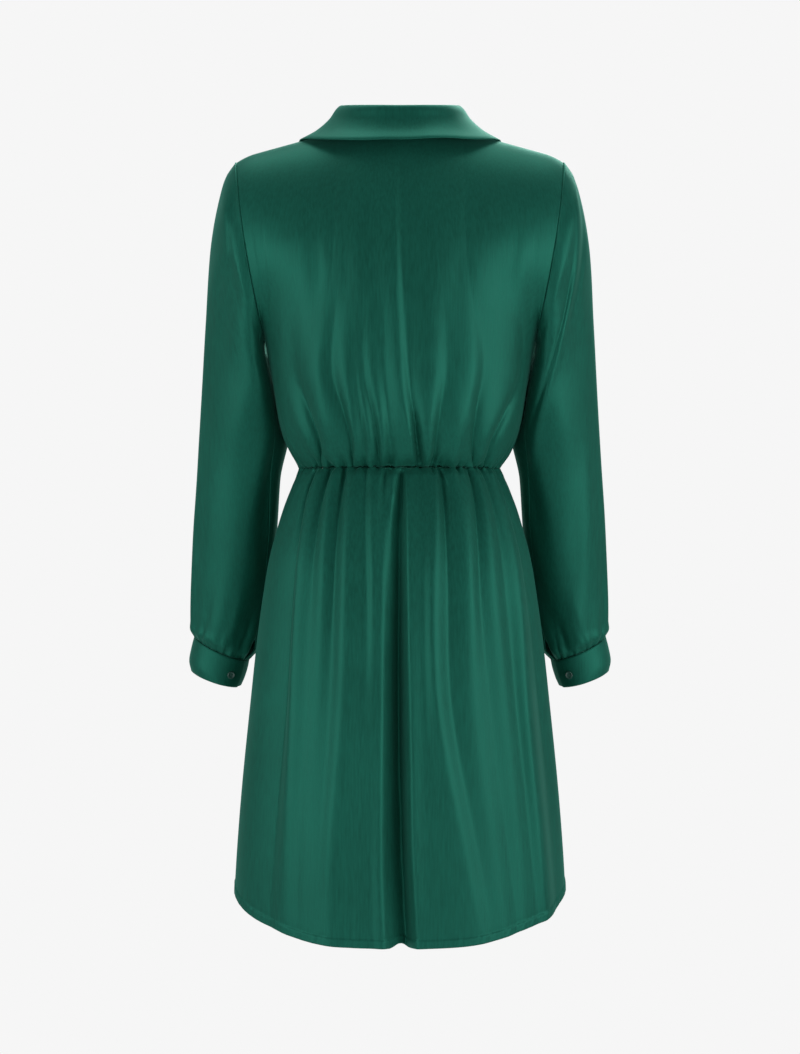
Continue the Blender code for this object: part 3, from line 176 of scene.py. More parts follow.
BODICE_BACK_FOLDS = [
    Fold((0.91, 0.862, 0.892, 0.93, 0.896, 0.853), (1.5, 1.5, 1.2, 0.8, 0.4, 0)),
    Fold((0.772, 0.701, 0.732, 0.806, 0.919, 0.935), (-4, -4.8, -4.8, -3.5, -1.2, 0), 0.2),
    Fold((0.668, 0.588, 0.593, 0.596, 0.628, 0.625), (1.5, 1.8, 3, 3.5, 2.2, 0.3)),
    Fold((0.434, 0.394, 0.428, 0.493, 0.511, 0.507), (-3, -3, -2.8, -2.2, -1, 0)),
    Fold((0.385, 0.351, 0.356, 0.376, 0.447, 0.455), (2, 2, 2.2, 2.2, 1.2, 0)),
    Fold((0.297, 0.283, 0.284, 0.308, 0.348, 0.354), (-1.5, -1.5, -1, -0.5, 0, 0)),
    Fold((0.249, 0.224, 0.246, 0.282, 0.341, 0.341), (1.5, 1.2, 0.8, 0, -0.4, 0)),
    Fold((0.175, 0.168, 0.2, 0.256, 0.327, 0.329), (-3.5, -3, -2.5, -2, -0.8, 0)),
    Fold((0.13, 0.128, 0.14, 0.183, 0.232, 0.255), (1.5, 1.5, 1.5, 1.5, 1, 0.3)),
    Fold((0.061, 0.067, 0.076, 0.099, 0.14, 0.142), (-2.5, -2.5, -2.2, -2, -1.5, -0.3)),
    Fold((-0.103, -0.078, -0.032, -0.002, 0.014, 0.022), (2.5, 3, 3, 3, 2.2, 1.2), 0.3),
    Fold((-0.175, -0.124, -0.086, -0.046, -0.017, -0.002), (-5, -5.5, -4.5, -3.2, -2.4, -1), 0.5),
    Fold((-0.231, -0.2, -0.211, -0.226, -0.218, -0.171), (2, 2.2, 2.2, 2, 1, 0.3)),
    Fold((-0.297, -0.283, -0.292, -0.323, -0.355, -0.354), (-3.5, -3, -2.2, -1.5, -0.8, 0)),
    Fold((-0.504, -0.472, -0.489, -0.516, -0.497, -0.481), (2, 2.2, 2.5, 2.5, 1.6, 0.2)),
    Fold((-0.699, -0.615, -0.593, -0.62, -0.694, -0.731), (-3, -3, -2.8, -2.5, -1.4, 0)),
    Fold((-0.762, -0.706, -0.771, -0.872, -0.813, -0.778), (1.8, 2, 2.2, 2.2, 1.2, 0)),
    Fold((-0.825, -0.788, -0.848, -0.93, -0.889, -0.866), (-3, -2.5, -2.5, -1.2, -0.6, 0)),
    Fold((-0.888, -0.862, -0.909, -0.972, -0.927, -0.894), (1.2, 1.2, 1, 0.8, 0.3, 0)),
]
BODICE_FRONT_FOLDS = [
    Fold((0.95, 0.95, 0.955, 0.96, 0.965, 0.965), (1, 1.5, 1.5, 1, 0.5, 0)),
    Fold((0.87, 0.88, 0.9, 0.92, 0.93, 0.93), (-2, -2, -1.2, -0.4, 0, 0)),
    Fold((0.8, 0.8, 0.82, 0.85, 0.86, 0.86), (1.5, 1.8, 1.6, 0.8, 0.3, 0)),
    Fold((0.72, 0.72, 0.74, 0.77, 0.78, 0.78), (-2, -2, -1.6, -1, -0.3, 0)),
    Fold((0.64, 0.64, 0.65, 0.67, 0.68, 0.68), (1.6, 1.8, 1.6, 0.8, 0.3, 0)),
    Fold((0.55, 0.55, 0.56, 0.57, 0.57, 0.57), (-1.8, -1.4, -0.8, -0.2, 0, 0)),
    Fold((0.47, 0.46, 0.45, 0.45, 0.45, 0.45), (1.4, 1.2, 0.6, 0.1, 0, 0)),
    Fold((0.38, 0.37, 0.36, 0.35, 0.35, 0.35), (-1.5, -1, -0.3, 0, 0, 0)),
    Fold((0.3, 0.28, 0.27, 0.26, 0.25, 0.25), (1.3, 0.9, 0.3, 0, 0, 0)),
    Fold((0.21, 0.19, 0.18, 0.16, 0.15, 0.15), (-1.5, -0.9, -0.2, 0, 0, 0)),
    Fold((0.13, 0.11, 0.09, 0.07, 0.06, 0.06), (1.3, 0.8, 0.2, 0, 0, 0)),
    Fold((0.04, 0.02, 0.01, 0, 0, 0), (-1.4, -0.8, -0.2, 0, 0, 0)),
    Fold((-0.04, -0.06, -0.07, -0.08, -0.09, -0.09), (1.3, 0.8, 0.2, 0, 0, 0)),
    Fold((-0.13, -0.15, -0.16, -0.17, -0.18, -0.18), (-1.5, -0.9, -0.2, 0, 0, 0)),
    Fold((-0.21, -0.24, -0.26, -0.27, -0.27, -0.27), (1.3, 0.9, 0.3, 0, 0, 0)),
    Fold((-0.3, -0.32, -0.34, -0.36, -0.37, -0.37), (-1.5, -1, -0.3, 0, 0, 0)),
    Fold((-0.38, -0.4, -0.42, -0.45, -0.46, -0.46), (1.4, 1.1, 0.5, 0.1, 0, 0)),
    Fold((-0.47, -0.48, -0.51, -0.55, -0.57, -0.57), (-1.8, -1.3, -0.7, -0.1, 0, 0)),
    Fold((-0.56, -0.57, -0.6, -0.64, -0.66, -0.66), (1.5, 1.7, 1.5, 0.8, 0.3, 0)),
    Fold((-0.65, -0.66, -0.69, -0.73, -0.75, -0.75), (-2, -2, -1.6, -0.8, -0.3, 0)),
    Fold((-0.73, -0.74, -0.77, -0.81, -0.83, -0.83), (1.6, 1.7, 1.5, 0.8, 0.3, 0)),
    Fold((-0.81, -0.82, -0.85, -0.88, -0.89, -0.89), (-1.8, -1.8, -1.2, -0.4, 0, 0)),
    Fold((-0.88, -0.89, -0.91, -0.93, -0.94, -0.94), (1.2, 1.4, 1, 0.5, 0, 0)),
    Fold((-0.95, -0.955, -0.965, -0.97, -0.975, -0.975), (-1, -1, -0.5, 0, 0, 0)),
]

# The wrap edges of the fronts: how far from the middle each one lies at each height, + towards
# the panel's own side. The left front is the mirror image.
EdgePoint = namedtuple("EdgePoint", "z x")
BODICE_EDGE = [
    EdgePoint(-374, -84),
    EdgePoint(-330, -66),
    EdgePoint(-270, -39),
    EdgePoint(-200, -6),
    EdgePoint(-130, 24),
    EdgePoint(-60, 51),
    EdgePoint(13, 70),
]

# Sleeve rings from the armhole down. outer and inner are the ends of the ring seen from behind,
# middle_y its middle, depth half its depth, drop how far its back hangs below its middle and
# belly how far its back and front swell away from the body.
SleeveRing = namedtuple("SleeveRing", "outer_x outer_z inner_x inner_z middle_y depth drop belly")
SLEEVE_RINGS = [
    SleeveRing(188, -24, 154, -228, -1, 59, 0, 0),
    SleeveRing(198.5, -37, 156, -240, -4, 60.5, 1, 5),
    SleeveRing(206, -58, 153, -254, -8, 60.5, 2, 7),
    SleeveRing(215, -100, 147, -280, -15, 58, 3, 6),
    SleeveRing(220, -152, 141, -312, -22, 55, 4, 3),
    SleeveRing(224, -214, 135.5, -348, -30, 51, 5, 1),
    SleeveRing(228.5, -294, 139.5, -388, -40, 48, 6, 0),
    SleeveRing(233, -366, 142.6, -432, -49, 45, 7, 0),
    SleeveRing(237.5, -430, 145.5, -472, -57, 43, 8, 0),
    SleeveRing(240.5, -490, 149, -512, -64, 41, 8, 0),
    SleeveRing(242, -532, 156, -548, -68, 39, 8, 0),
    SleeveRing(242, -556, 166, -578, -70, 36, 7, 0),
    SleeveRing(239.5, -568.6, 177, -595.6, -71, 32, 6, 0),
]
CUFF_RINGS = [
    SleeveRing(240, -569.6, 177, -596.6, -71, 32, 6, 0),
    SleeveRing(243.5, -583, 179, -606, -72, 31.5, 6, 0),
    SleeveRing(246, -597, 182.5, -617, -73, 31.5, 6, 0),
    SleeveRing(244, -608, 186.5, -626, -74, 31, 5.5, 0),
]
SLEEVE_SEAM_TURN = 0.41  # the underarm seam, as a share of a turn from the outer side round the back
SLIT_LENGTH = 62 * MM
SLIT_GAP = 9 * MM
SLIT_START_GAP = 0.4 * MM
SLIT_SPREAD = 0.107  # the share of a turn on each side that gives way to the slit
CUFF_LAP = 0.11  # share of a turn by which the cuff's ends lie over each other
CUFF_LAP_STEP = 2.1 * MM
CUFF_END_TURN = 0.41


# ---------------------------------------------------------------- arithmetic
def mix(a, b, share):
    return a + (b - a) * share


def ease(share):
    share = np.clip(share, 0.0, 1.0)
    return share * share * (3 - 2 * share)


def unit(vectors):
    return vectors / np.maximum(np.linalg.norm(vectors, axis=-1, keepdims=True), 1e-12)


def vectors(x, y, z):
    return np.stack(np.broadcast_arrays(x, y, z), axis=-1).astype(float)


def through(xs, ys, x):
    """A smooth curve through the points (xs, ys), flat past its ends. ys may hold several columns."""
    xs, ys = np.asarray(xs, float), np.asarray(ys, float)
    if xs[0] > xs[-1]:
        xs, ys = xs[::-1], ys[::-1]
    last = len(xs) - 1
    low, high = np.maximum(np.arange(last + 1) - 1, 0), np.minimum(np.arange(last + 1) + 1, last)
    spans = (xs[high] - xs[low]).reshape(-1, *[1] * (ys.ndim - 1))
    slopes = (ys[high] - ys[low]) / spans
    x = np.clip(np.asarray(x, float), xs[0], xs[-1])
    i = np.clip(np.searchsorted(xs, x, side="right") - 1, 0, last - 1)
    step = xs[i + 1] - xs[i]
    t = (x - xs[i]) / step
    if ys.ndim > 1:
        step, t = step[..., None], t[..., None]
    return (
        (1 + 2 * t) * (1 - t) ** 2 * ys[i]
        + t * (1 - t) ** 2 * step * slopes[i]
        + t * t * (3 - 2 * t) * ys[i + 1]
        + t * t * (t - 1) * step * slopes[i + 1]
    )


def column(table, name, scale=MM):
    return [getattr(row, name) * scale for row in table]


def power(value, exponent):
    return np.sign(value) * np.abs(value) ** exponent


# ---------------------------------------------------------------- rings round the body
def section_at(table, z):
    heights = column(table, "z")
    return tuple(through(heights, column(table, name), z) for name in ("half_width", "back", "front"))


def ring_point(half_width, back, front, turn):
    """Points of a ring and their outward directions. turn is 0 at the back and grows to the left."""
    depth = np.where(np.cos(turn) >= 0, back - SIDE_Y, SIDE_Y - front)
    x = half_width * power(np.sin(turn), 2 / RING_SQUARENESS)
    y = SIDE_Y + depth * power(np.cos(turn), 2 / RING_SQUARENESS)
    return x, y, unit(vectors(np.sin(turn) / half_width, np.cos(turn) / depth, 0.0))


# Valleys are sharper than ridges, most of all near the gathered waist.
PINCH_FAR, PINCH_AT_WAIST = 0.5, 1.4
PINCH_REACH = 110 * MM
PINCH_DEPTH = 1.5 * MM
# Close to the waist each valley is also nipped into a narrow groove, which widens away from it.
NIP_WIDTH = 2.2 * MM
NIP_SPREAD = 0.035
NIP_ARM = 100 * MM
NIP_DEPTH = 4.0 * MM
NIP_FULL = 3.5 * MM
NIP_LIMIT = 1.2
NIP_REACH = 75 * MM


def fold_rise(folds, levels, z, turn):
    """How far the cloth stands out between its ridges and valleys, which are joined by soft waves."""
    turn, z = np.broadcast_arrays(turn, z)
    if not folds:
        return np.zeros(turn.shape)
    heights = [level * MM for level in levels]
    ordered = folds[::-1]
    crisp = np.array([0.0, *(fold.crisp for fold in ordered), 0.0])
    across = through(heights, np.array([fold.across for fold in ordered]).T, z)
    rises = through(heights, np.array([fold.rise for fold in ordered]).T * MM, z)
    ends = [(0, 0)] * turn.ndim + [(1, 1)]
    places = np.arcsin(np.clip(across, -1, 1))
    places = np.concatenate(
        [np.full((*turn.shape, 1), -math.pi / 2), places, np.full((*turn.shape, 1), math.pi / 2)], axis=-1
    )
    rises = np.pad(rises, ends)
    k = np.clip((places[..., 1:-1] < turn[..., None]).sum(-1), 0, len(folds))[..., None]
    turn_a, turn_b = (np.take_along_axis(places, k + n, -1)[..., 0] for n in (0, 1))
    rise_a, rise_b = (np.take_along_axis(rises, k + n, -1)[..., 0] for n in (0, 1))
    pinch = mix(PINCH_FAR, PINCH_AT_WAIST, np.exp(-(((z - WAIST_Z) / PINCH_REACH) ** 2)))
    slope_a = crisp[k[..., 0]] + pinch * np.clip(-rise_a / PINCH_DEPTH, 0, 1)
    slope_b = crisp[k[..., 0] + 1] + pinch * np.clip(-rise_b / PINCH_DEPTH, 0, 1)
    t = np.clip((turn - turn_a) / np.maximum(turn_b - turn_a, 1e-6), 0, 1)
    share = t * t * (3 - 2 * t) + slope_a * t * (1 - t) ** 2 - slope_b * t * t * (1 - t)
    away = np.abs(z - WAIST_Z)
    width = (NIP_WIDTH + NIP_SPREAD * away) / NIP_ARM
    nip = sum(
        np.exp(-(((turn - place) / width) ** 2)) * np.clip(-depth / NIP_FULL, 0, NIP_LIMIT)
        for place, depth in ((turn_a, rise_a), (turn_b, rise_b))
    )
    return mix(rise_a, rise_b, share) - nip * NIP_DEPTH * np.exp(-((away / NIP_REACH) ** 2))


# Gathers are drawn tight at the waist seam and spring out just above and below it.
SEAM_PULL = 1.6 * MM
SEAM_REACH = 9 * MM
SEAM_HOLD = 0.45  # the share of a fold's rise that is left at the seam


def sprung(rise, z):
    spring = ease(np.abs(z - WAIST_Z) / SEAM_REACH)
    return rise * mix(SEAM_HOLD, 1.0, spring) - SEAM_PULL * (1 - spring)


# ---------------------------------------------------------------- the bodice's form
def neck_and_shoulder(u, front):
    """The top edge of a panel: the neckline up to NECK_SHARE and the shoulder seam past it."""
    side, share = np.sign(u) + (u == 0), np.abs(u)
    angle = np.pi / 2 * np.minimum(share / NECK_SHARE, 1)
    if front:
        neck = vectors(NECK_HALF_WIDTH * share / NECK_SHARE, SIDE_Y, NECK_SIDE_Z)
    else:
        neck = vectors(
            NECK_HALF_WIDTH * np.sin(angle),
            SIDE_Y + (BACK_NECK_Y - SIDE_Y) * np.cos(angle),
            BACK_NECK_Z + (NECK_SIDE_Z - BACK_NECK_Z) * np.sin(angle) ** 2,
        )
    x = mix(NECK_HALF_WIDTH, SHOULDER_TIP_X, (share - NECK_SHARE) / (1 - NECK_SHARE))
    past = np.maximum(0.0, x - SHOULDER_ROUND_X) / (SHOULDER_TIP_X - SHOULDER_ROUND_X)
    z = NECK_SIDE_Z - SHOULDER_SLOPE * (x - NECK_HALF_WIDTH) - SHOULDER_ROUND_DROP * past**2
    points = np.where((share < NECK_SHARE)[..., None], neck, vectors(x, SIDE_Y, z))
    return points * vectors(side, 1.0, 1.0)


def bodice_low(u, v, front, folds, lift):
    """From the waist (v = 0) to the underarm (v = 1)."""
    turn = u * math.pi / 2
    z = mix(WAIST_Z, UNDERARM_Z, v)
    x, y, out = ring_point(*section_at(BODICE_SECTIONS, z), math.pi - turn if front else turn)
    rise = sprung(fold_rise(folds, BODICE_LEVELS, z, turn), z)
    return vectors(x, y, z) + out * (rise + lift)[..., None]


def bodice_high(u, v, front, folds, lift):
    """From the underarm (v = 1) to the shoulder seam or neckline (v = 2)."""
    half_width, back_y, front_y = (float(value) for value in section_at(BODICE_SECTIONS, UNDERARM_Z))
    turn = u * math.pi / 2
    _, low_y, _ = ring_point(half_width, back_y, front_y, math.pi - turn if front else turn)
    top = neck_and_shoulder(u, front)
    n = SHOULDER_SQUARENESS
    reach = low_y - SIDE_Y
    ratio = 0.0
    if not front:
        ratio = np.clip((top[..., 1] - SIDE_Y) / np.maximum(reach, 1e-6), 0, RIDGE_LIMIT)
        ratio = np.where(np.abs(u) < NECK_SHARE, ratio, 0)
    ridge_z = UNDERARM_Z + (top[..., 2] - UNDERARM_Z) / (1 - ratio**n) ** (1 / n)
    angle = (v - 1) * np.arccos(ratio ** (n / 2))
    inward = np.maximum(np.cos(angle), 0) ** (2 / n)
    z = UNDERARM_Z + (ridge_z - UNDERARM_Z) * np.maximum(np.sin(angle), 0) ** (2 / n)
    climbed = np.clip((z - UNDERARM_Z) / (top[..., 2] - UNDERARM_Z), 0, 1)
    # The ring is cut short at the armhole, which lies behind or before the side.
    hollow = np.maximum(0.0, 4 * climbed * (1 - climbed))
    armhole_depth = ARMHOLE_FRONT_DEPTH if front else ARMHOLE_BACK_DEPTH
    full_depth = (SIDE_Y - front_y if front else back_y - SIDE_Y) * np.maximum(inward, 0.02)
    short = np.minimum(0.92, armhole_depth * np.sqrt(hollow) / full_depth)
    end_turn = np.arccos(short ** (RING_SQUARENESS / 2))
    kept = np.sin(end_turn) ** (2 / RING_SQUARENESS)
    share = power(np.sin(u * end_turn), 2 / RING_SQUARENESS) / kept
    hold = CUT_HOLD * (1 - ease(climbed / CUT_HOLD_TOP))
    wide = np.abs(share) * (1 - (1 - kept) * np.abs(share) ** hold)
    cut_turn = np.sign(u) * np.arcsin(wide ** (RING_SQUARENESS / 2))
    _, low_y, out = ring_point(half_width, back_y, front_y, math.pi - cut_turn if front else cut_turn)
    bow = ARMHOLE_FRONT_BOW if front else ARMHOLE_BACK_BOW
    x = mix(half_width * share, top[..., 0], climbed) + bow * hollow * share * np.abs(share)
    y = SIDE_Y + (low_y - SIDE_Y) * inward
    top_fade = 1 - ease((v - 1.75) / 0.25)
    lift = lift * (1 - ease((z - WRAP_STEP_FULL) / (WRAP_STEP_TOP - WRAP_STEP_FULL)))
    up = ease((climbed - 0.5) * 2)[..., None]
    out = unit(out * (1 - up) + np.array([0.0, 0.0, 1.0]) * up)
    edge_x = mix(half_width, SHOULDER_TIP_X, climbed) + bow * hollow
    fold_turn = np.sign(x) * np.arcsin(np.minimum(1, np.abs(x) / edge_x) ** (RING_SQUARENESS / 2))
    rise = fold_rise(folds, BODICE_LEVELS, z, fold_turn)
    return vectors(x, y, z) + out * ((rise + lift) * top_fade)[..., None]


def bodice_point(u, v, front, folds, lift=0.0):
    """Points of the bodice. u is -1 to 1 across, + to the left; v is 0 at the waist and 2 at the top."""
    u, v, lift = (np.array(a, float) for a in np.broadcast_arrays(u, v, lift))
    low = bodice_low(u, np.minimum(v, 1), front, folds, lift)
    high = bodice_high(u, np.clip(v, 1, 2), front, folds, lift)
    return np.where((v <= 1)[..., None], low, high)


def armhole_point(turn):
    """Points of the left armhole; turn is 0 at the shoulder and goes round by the back."""
    angle = 2 * math.pi * turn
    climbed = (1 + np.cos(angle)) / 2
    tip = neck_and_shoulder(np.array(1.0), False)
    back = np.sin(angle) >= 0
    depth = np.where(back, ARMHOLE_BACK_DEPTH, ARMHOLE_FRONT_DEPTH)
    bow = np.where(back, ARMHOLE_BACK_BOW, ARMHOLE_FRONT_BOW)
    low_x = float(section_at(BODICE_SECTIONS, UNDERARM_Z)[0])
    x = mix(low_x, tip[0], climbed) + bow * np.sin(angle) ** 2
    return vectors(x, SIDE_Y + depth * np.sin(angle), mix(UNDERARM_Z, tip[2], climbed))


# ---------------------------------------------------------------- the skirt's form
def hem_z(share, front):
    """Height of the hem at a share of the way from the middle of a panel to the side seam."""
    return through(column(HEM, "share", 1), column(HEM, "front_z" if front else "back_z"), np.abs(share))


def skirt_point(turn, z, front, lift=0.0):
    x, y, out = ring_point(*section_at(SKIRT_SECTIONS, z), math.pi - turn if front else turn)
    folds = SKIRT_FRONT_FOLDS if front else SKIRT_BACK_FOLDS
    rise = sprung(fold_rise(folds, SKIRT_LEVELS, z, turn), z)
    return vectors(x, y, z) + out * (rise + lift)[..., None]


# ---------------------------------------------------------------- the sleeve's form
def ring_between(rings, place):
    """The ring at each place along a table of rings, 0 at its first row and 1 at its last, in metres."""
    found = through(np.arange(len(rings)), np.array(rings, float), np.asarray(place) * (len(rings) - 1))
    return SleeveRing(*np.moveaxis(found, -1, 0) * MM)


def ring_middle(ring):
    return vectors((ring.outer_x + ring.inner_x) / 2, ring.middle_y, (ring.outer_z + ring.inner_z) / 2)


def sleeve_ring_point(ring, turn):
    """Points of sleeve or cuff rings; turn is 0 at the outer side and goes round by the back."""
    outer = vectors(ring.outer_x, ring.middle_y, ring.outer_z)
    middle = ring_middle(ring)
    back = vectors(0.0, ring.depth, -ring.drop)
    angle = 2 * math.pi * turn
    point = middle + (outer - middle) * np.cos(angle)[..., None] + back * np.sin(angle)[..., None]
    point[..., 0] += ring.belly * np.sin(angle) ** 2
    return point


# Soft creases of the sleeve: where each starts and ends (place along, turn round) and its size.
Crease = namedtuple("Crease", "place_a turn_a place_b turn_b width rise")
SLEEVE_CREASES = [
    Crease(0.1, 0.16, 0.34, 0.06, 13, 4),
    Crease(0.16, 0.27, 0.42, 0.14, 12, -4.5),
    Crease(0.24, 0.4, 0.5, 0.22, 14, 4),
    Crease(0.3, 0.47, 0.62, 0.36, 12, -4),
    Crease(0.3, 0.06, 0.95, 0.05, 9, 2.5),
    Crease(0.6, 0.3, 0.92, 0.2, 16, 2.5),
    Crease(0.66, 0.42, 0.95, 0.3, 13, -2.5),
    Crease(0.2, 0.86, 0.46, 0.74, 14, 3.5),
    Crease(0.28, 0.7, 0.52, 0.58, 14, -3.5),
    Crease(0.55, 0.8, 0.9, 0.72, 16, 3),
]
# Sharper creases of each sleeve's own cloth: the left one hangs in one long soft break near its
# outer side, the right one in a broad slanting roll at the elbow.
OWN_CREASES = {
    1: [
        Crease(0.17, 0.2, 0.36, 0.075, 6, 2.2),
        Crease(0.15, 0.235, 0.33, 0.125, 8, -2.6),
        Crease(0.02, 0.15, 0.16, 0.19, 9, -1.8),
        Crease(0.36, 0.055, 0.6, 0.03, 7, 1.6),
        Crease(0.62, 0.04, 0.97, 0.045, 6, 1.5),
        Crease(0.8, 0.16, 0.98, 0.13, 7, -1.4),
        Crease(0.76, 0.29, 0.97, 0.25, 8, 1.5),
        Crease(0.84, 0.36, 0.99, 0.35, 5, -1.6),
        Crease(0.45, 0.4, 0.7, 0.38, 9, -1.8),
    ],
    -1: [
        Crease(0.13, 0.09, 0.33, 0.27, 10, 3),
        Crease(0.12, 0.03, 0.3, 0.165, 8, -3),
        Crease(0.2, 0.19, 0.4, 0.35, 8, -2.6),
        Crease(0.33, 0.27, 0.48, 0.37, 9, 2),
        Crease(0.55, 0.14, 0.82, 0.2, 10, 1.6),
        Crease(0.7, 0.07, 0.97, 0.1, 7, -1.3),
        Crease(0.78, 0.24, 0.98, 0.22, 7, 1.6),
        Crease(0.84, 0.31, 0.99, 0.3, 5, -1.6),
    ],
}
SLEEVE_BLOUSE = 2.0 * MM  # the sleeve swells a little over its gathers at the cuff
SLEEVE_BLOUSE_REACH = 0.12
SLEEVE_CLEARANCE = 3.8 * MM
SLEEVE_LENGTH = 540 * MM
SLEEVE_GIRTH = 290 * MM


def crease_rise(creases, place, turn, length, girth):
    total = np.zeros(np.broadcast(place, turn).shape)
    for crease in creases:
        run = (crease.place_b - crease.place_a) * length, (crease.turn_b - crease.turn_a) * girth
        middle = (crease.turn_a + crease.turn_b) / 2
        near = (turn - middle + 0.5) % 1.0 - 0.5 + middle
        along, round_ = (place - crease.place_a) * length, (near - crease.turn_a) * girth
        squared = run[0] ** 2 + run[1] ** 2
        share = (along * run[0] + round_ * run[1]) / squared
        aside = np.hypot(along - share * run[0], round_ - share * run[1]) / (crease.width * MM)
        ends = ease((share + 0.25) / 0.5) * ease((1.25 - share) / 0.5)
        total += crease.rise * MM * np.exp(-(aside**2)) * ends
    return total


def keep_clear(points):
    """Moves points of the left sleeve out of the body's side, below the underarm."""
    x, y, z = np.moveaxis(points, -1, 0)
    bodice, skirt = section_at(BODICE_SECTIONS, z), section_at(SKIRT_SECTIONS, z)
    half_width, back, front = (np.where(z > WAIST_Z, a, b) for a, b in zip(bodice, skirt))
    depth = np.where(y > SIDE_Y, back - SIDE_Y, SIDE_Y - front)
    share = np.minimum(1.0, np.abs(y - SIDE_Y) / depth)
    limit = half_width * (1 - share**RING_SQUARENESS) ** (1 / RING_SQUARENESS) + SLEEVE_CLEARANCE
    limit = np.where(z > UNDERARM_Z + 1 * MM, -1.0, limit)
    return vectors(np.maximum(x, limit), y, z)


# Below the underarm the sleeve hangs a little before the body's side and lies along it.
LEAN = 16 * MM
LEAN_TURN = 0.62
LEAN_WIDTH = 0.10
LEAN_START, LEAN_FULL, LEAN_FADE, LEAN_END = 0.13, 0.23, 0.38, 0.50  # places along the sleeve
ARMHOLE_BLEND = 0.083  # the share of the sleeve that turns from the armhole's form into its own


def lean_rise(place, turn):
    near = np.exp(-(((turn - LEAN_TURN) / LEAN_WIDTH) ** 2))
    start = ease((place - LEAN_START) / (LEAN_FULL - LEAN_START))
    return LEAN * near * start * ease((LEAN_END - place) / (LEAN_END - LEAN_FADE))


def sleeve_point(place, turn, creases=()):
    place, turn = np.broadcast_arrays(place, turn)
    turn_on = turn % 1.0
    ring = ring_between(SLEEVE_RINGS, place)
    joined = 1 - ease(place / ARMHOLE_BLEND)
    point = mix(sleeve_ring_point(ring, turn_on), armhole_point(turn_on), joined[..., None])
    out = unit(point - ring_middle(ring))
    creases = [*SLEEVE_CREASES, *creases]
    rise = crease_rise(creases, place, turn_on, SLEEVE_LENGTH, SLEEVE_GIRTH) * (1 - joined)
    near_cuff = ease((place - 1 + SLEEVE_BLOUSE_REACH) / SLEEVE_BLOUSE_REACH)
    rise += np.sin(math.pi * near_cuff) * SLEEVE_BLOUSE
    point = point + out * rise[..., None]
    point[..., 0] -= lean_rise(place, turn_on)
    point = keep_clear(point)
    point[..., 0] += (SEAM_GAP + CLOTH * 0.6) * joined
    return point


# ---------------------------------------------------------------- the collar's form (millimetres)
# Stations from the middle of the back round to the front end: where the collar is sewn on,
# where it rolls over, and its free edge. The other half is the mirror image.
CollarStation = namedtuple(
    "CollarStation", "share seam_x seam_y seam_z roll_x roll_y roll_z edge_x edge_y edge_z"
)
COLLAR = [
    CollarStation(0.00, 0, 60, 5.8, 0, 62, 36.6, 0, 86, -5),
    CollarStation(0.18, 27, 55.5, 7.2, 25, 58, 37.2, 38, 82, -3.7),
    CollarStation(0.36, 53, 39, 10.5, 48, 41, 39, 80, 60, -1.9),
    CollarStation(0.50, 67, 14, 14.8, 60.5, 15, 41.4, 108, 26, 2),
    CollarStation(0.62, 69.5, -6, 15.6, 62.5, -8, 41.6, 116, -10, 2.4),
    CollarStation(0.76, 66, -48, 0, 61, -51, 19, 114, -47, -5),
    CollarStation(0.90, 57.5, -79, -31, 54.5, -84, -19, 106, -73, -34),
    CollarStation(1.00, 49, -96, -59, 48.5, -101, -54, 95, -96, -72),
]
# The profile from the seam over the roll to the free edge: how far along stand or fall, and
# how far it bows out from the straight line there.
ProfilePoint = namedtuple("ProfilePoint", "stand fall bow")
COLLAR_PROFILE = [
    ProfilePoint(0, 0, 0),
    ProfilePoint(0.35, 0, 0.6),
    ProfilePoint(0.7, 0, 0.4),
    ProfilePoint(0.93, 0, 0),
    ProfilePoint(1, 0.06, 2.6),
    ProfilePoint(1, 0.17, 2.4),
    ProfilePoint(1, 0.4, -2.2),
    ProfilePoint(1, 0.7, -3.4),
    ProfilePoint(1, 1, 0),
]
COLLAR_WAVE = 1.0 * MM


def collar_point(share, k):
    """Points of the collar; share is -1 to 1 round the neck, + to the left, k a place in the profile."""
    share, k = np.broadcast_arrays(share, k)
    at = np.abs(share)
    table = np.array([row[1:] for row in COLLAR], float) * MM
    found = through(column(COLLAR, "share", 1), table, at)
    seam, roll, edge = found[..., 0:3], found[..., 3:6], found[..., 6:9]
    profile = through(np.arange(len(COLLAR_PROFILE)), np.array(COLLAR_PROFILE, float), k)
    stand, fall, bow = profile[..., 0:1], profile[..., 1:2], profile[..., 2:3]
    away = unit(edge - roll)
    height = np.minimum(1.0, np.linalg.norm(roll - seam, axis=-1, keepdims=True) / (28 * MM))
    up = np.where(height > 0.3, unit(roll - seam), np.array([0.0, 0.0, 1.0]))
    bowed = unit(away + up) * (bow * MM * mix(0.55, 1.0, height))
    point = mix(seam, roll, stand) + (edge - roll) * fall + bowed
    wave = (-np.sin(share * 7.3) + 0.35 * np.sin(share * 21.0 + 0.5)) * ease((0.62 - at) / 0.14)
    point[..., 2] += COLLAR_WAVE * wave * fall[..., 0] ** 2
    return point * vectors(np.where(share < 0, -1.0, 1.0), 1.0, 1.0)


# ---------------------------------------------------------------- making shells
def grid_normals(middles, towards, closed=False):
    """Normals at a grid's points, on the side of each point that towards names."""
    across, along = np.gradient(middles, axis=1), np.gradient(middles, axis=0)
    if closed:
        across[:, 0] = across[:, -1] = middles[:, 1] - middles[:, -2]
    normals = unit(np.cross(across, along))
    if (normals * towards).sum() < 0:
        normals = -normals
    return normals


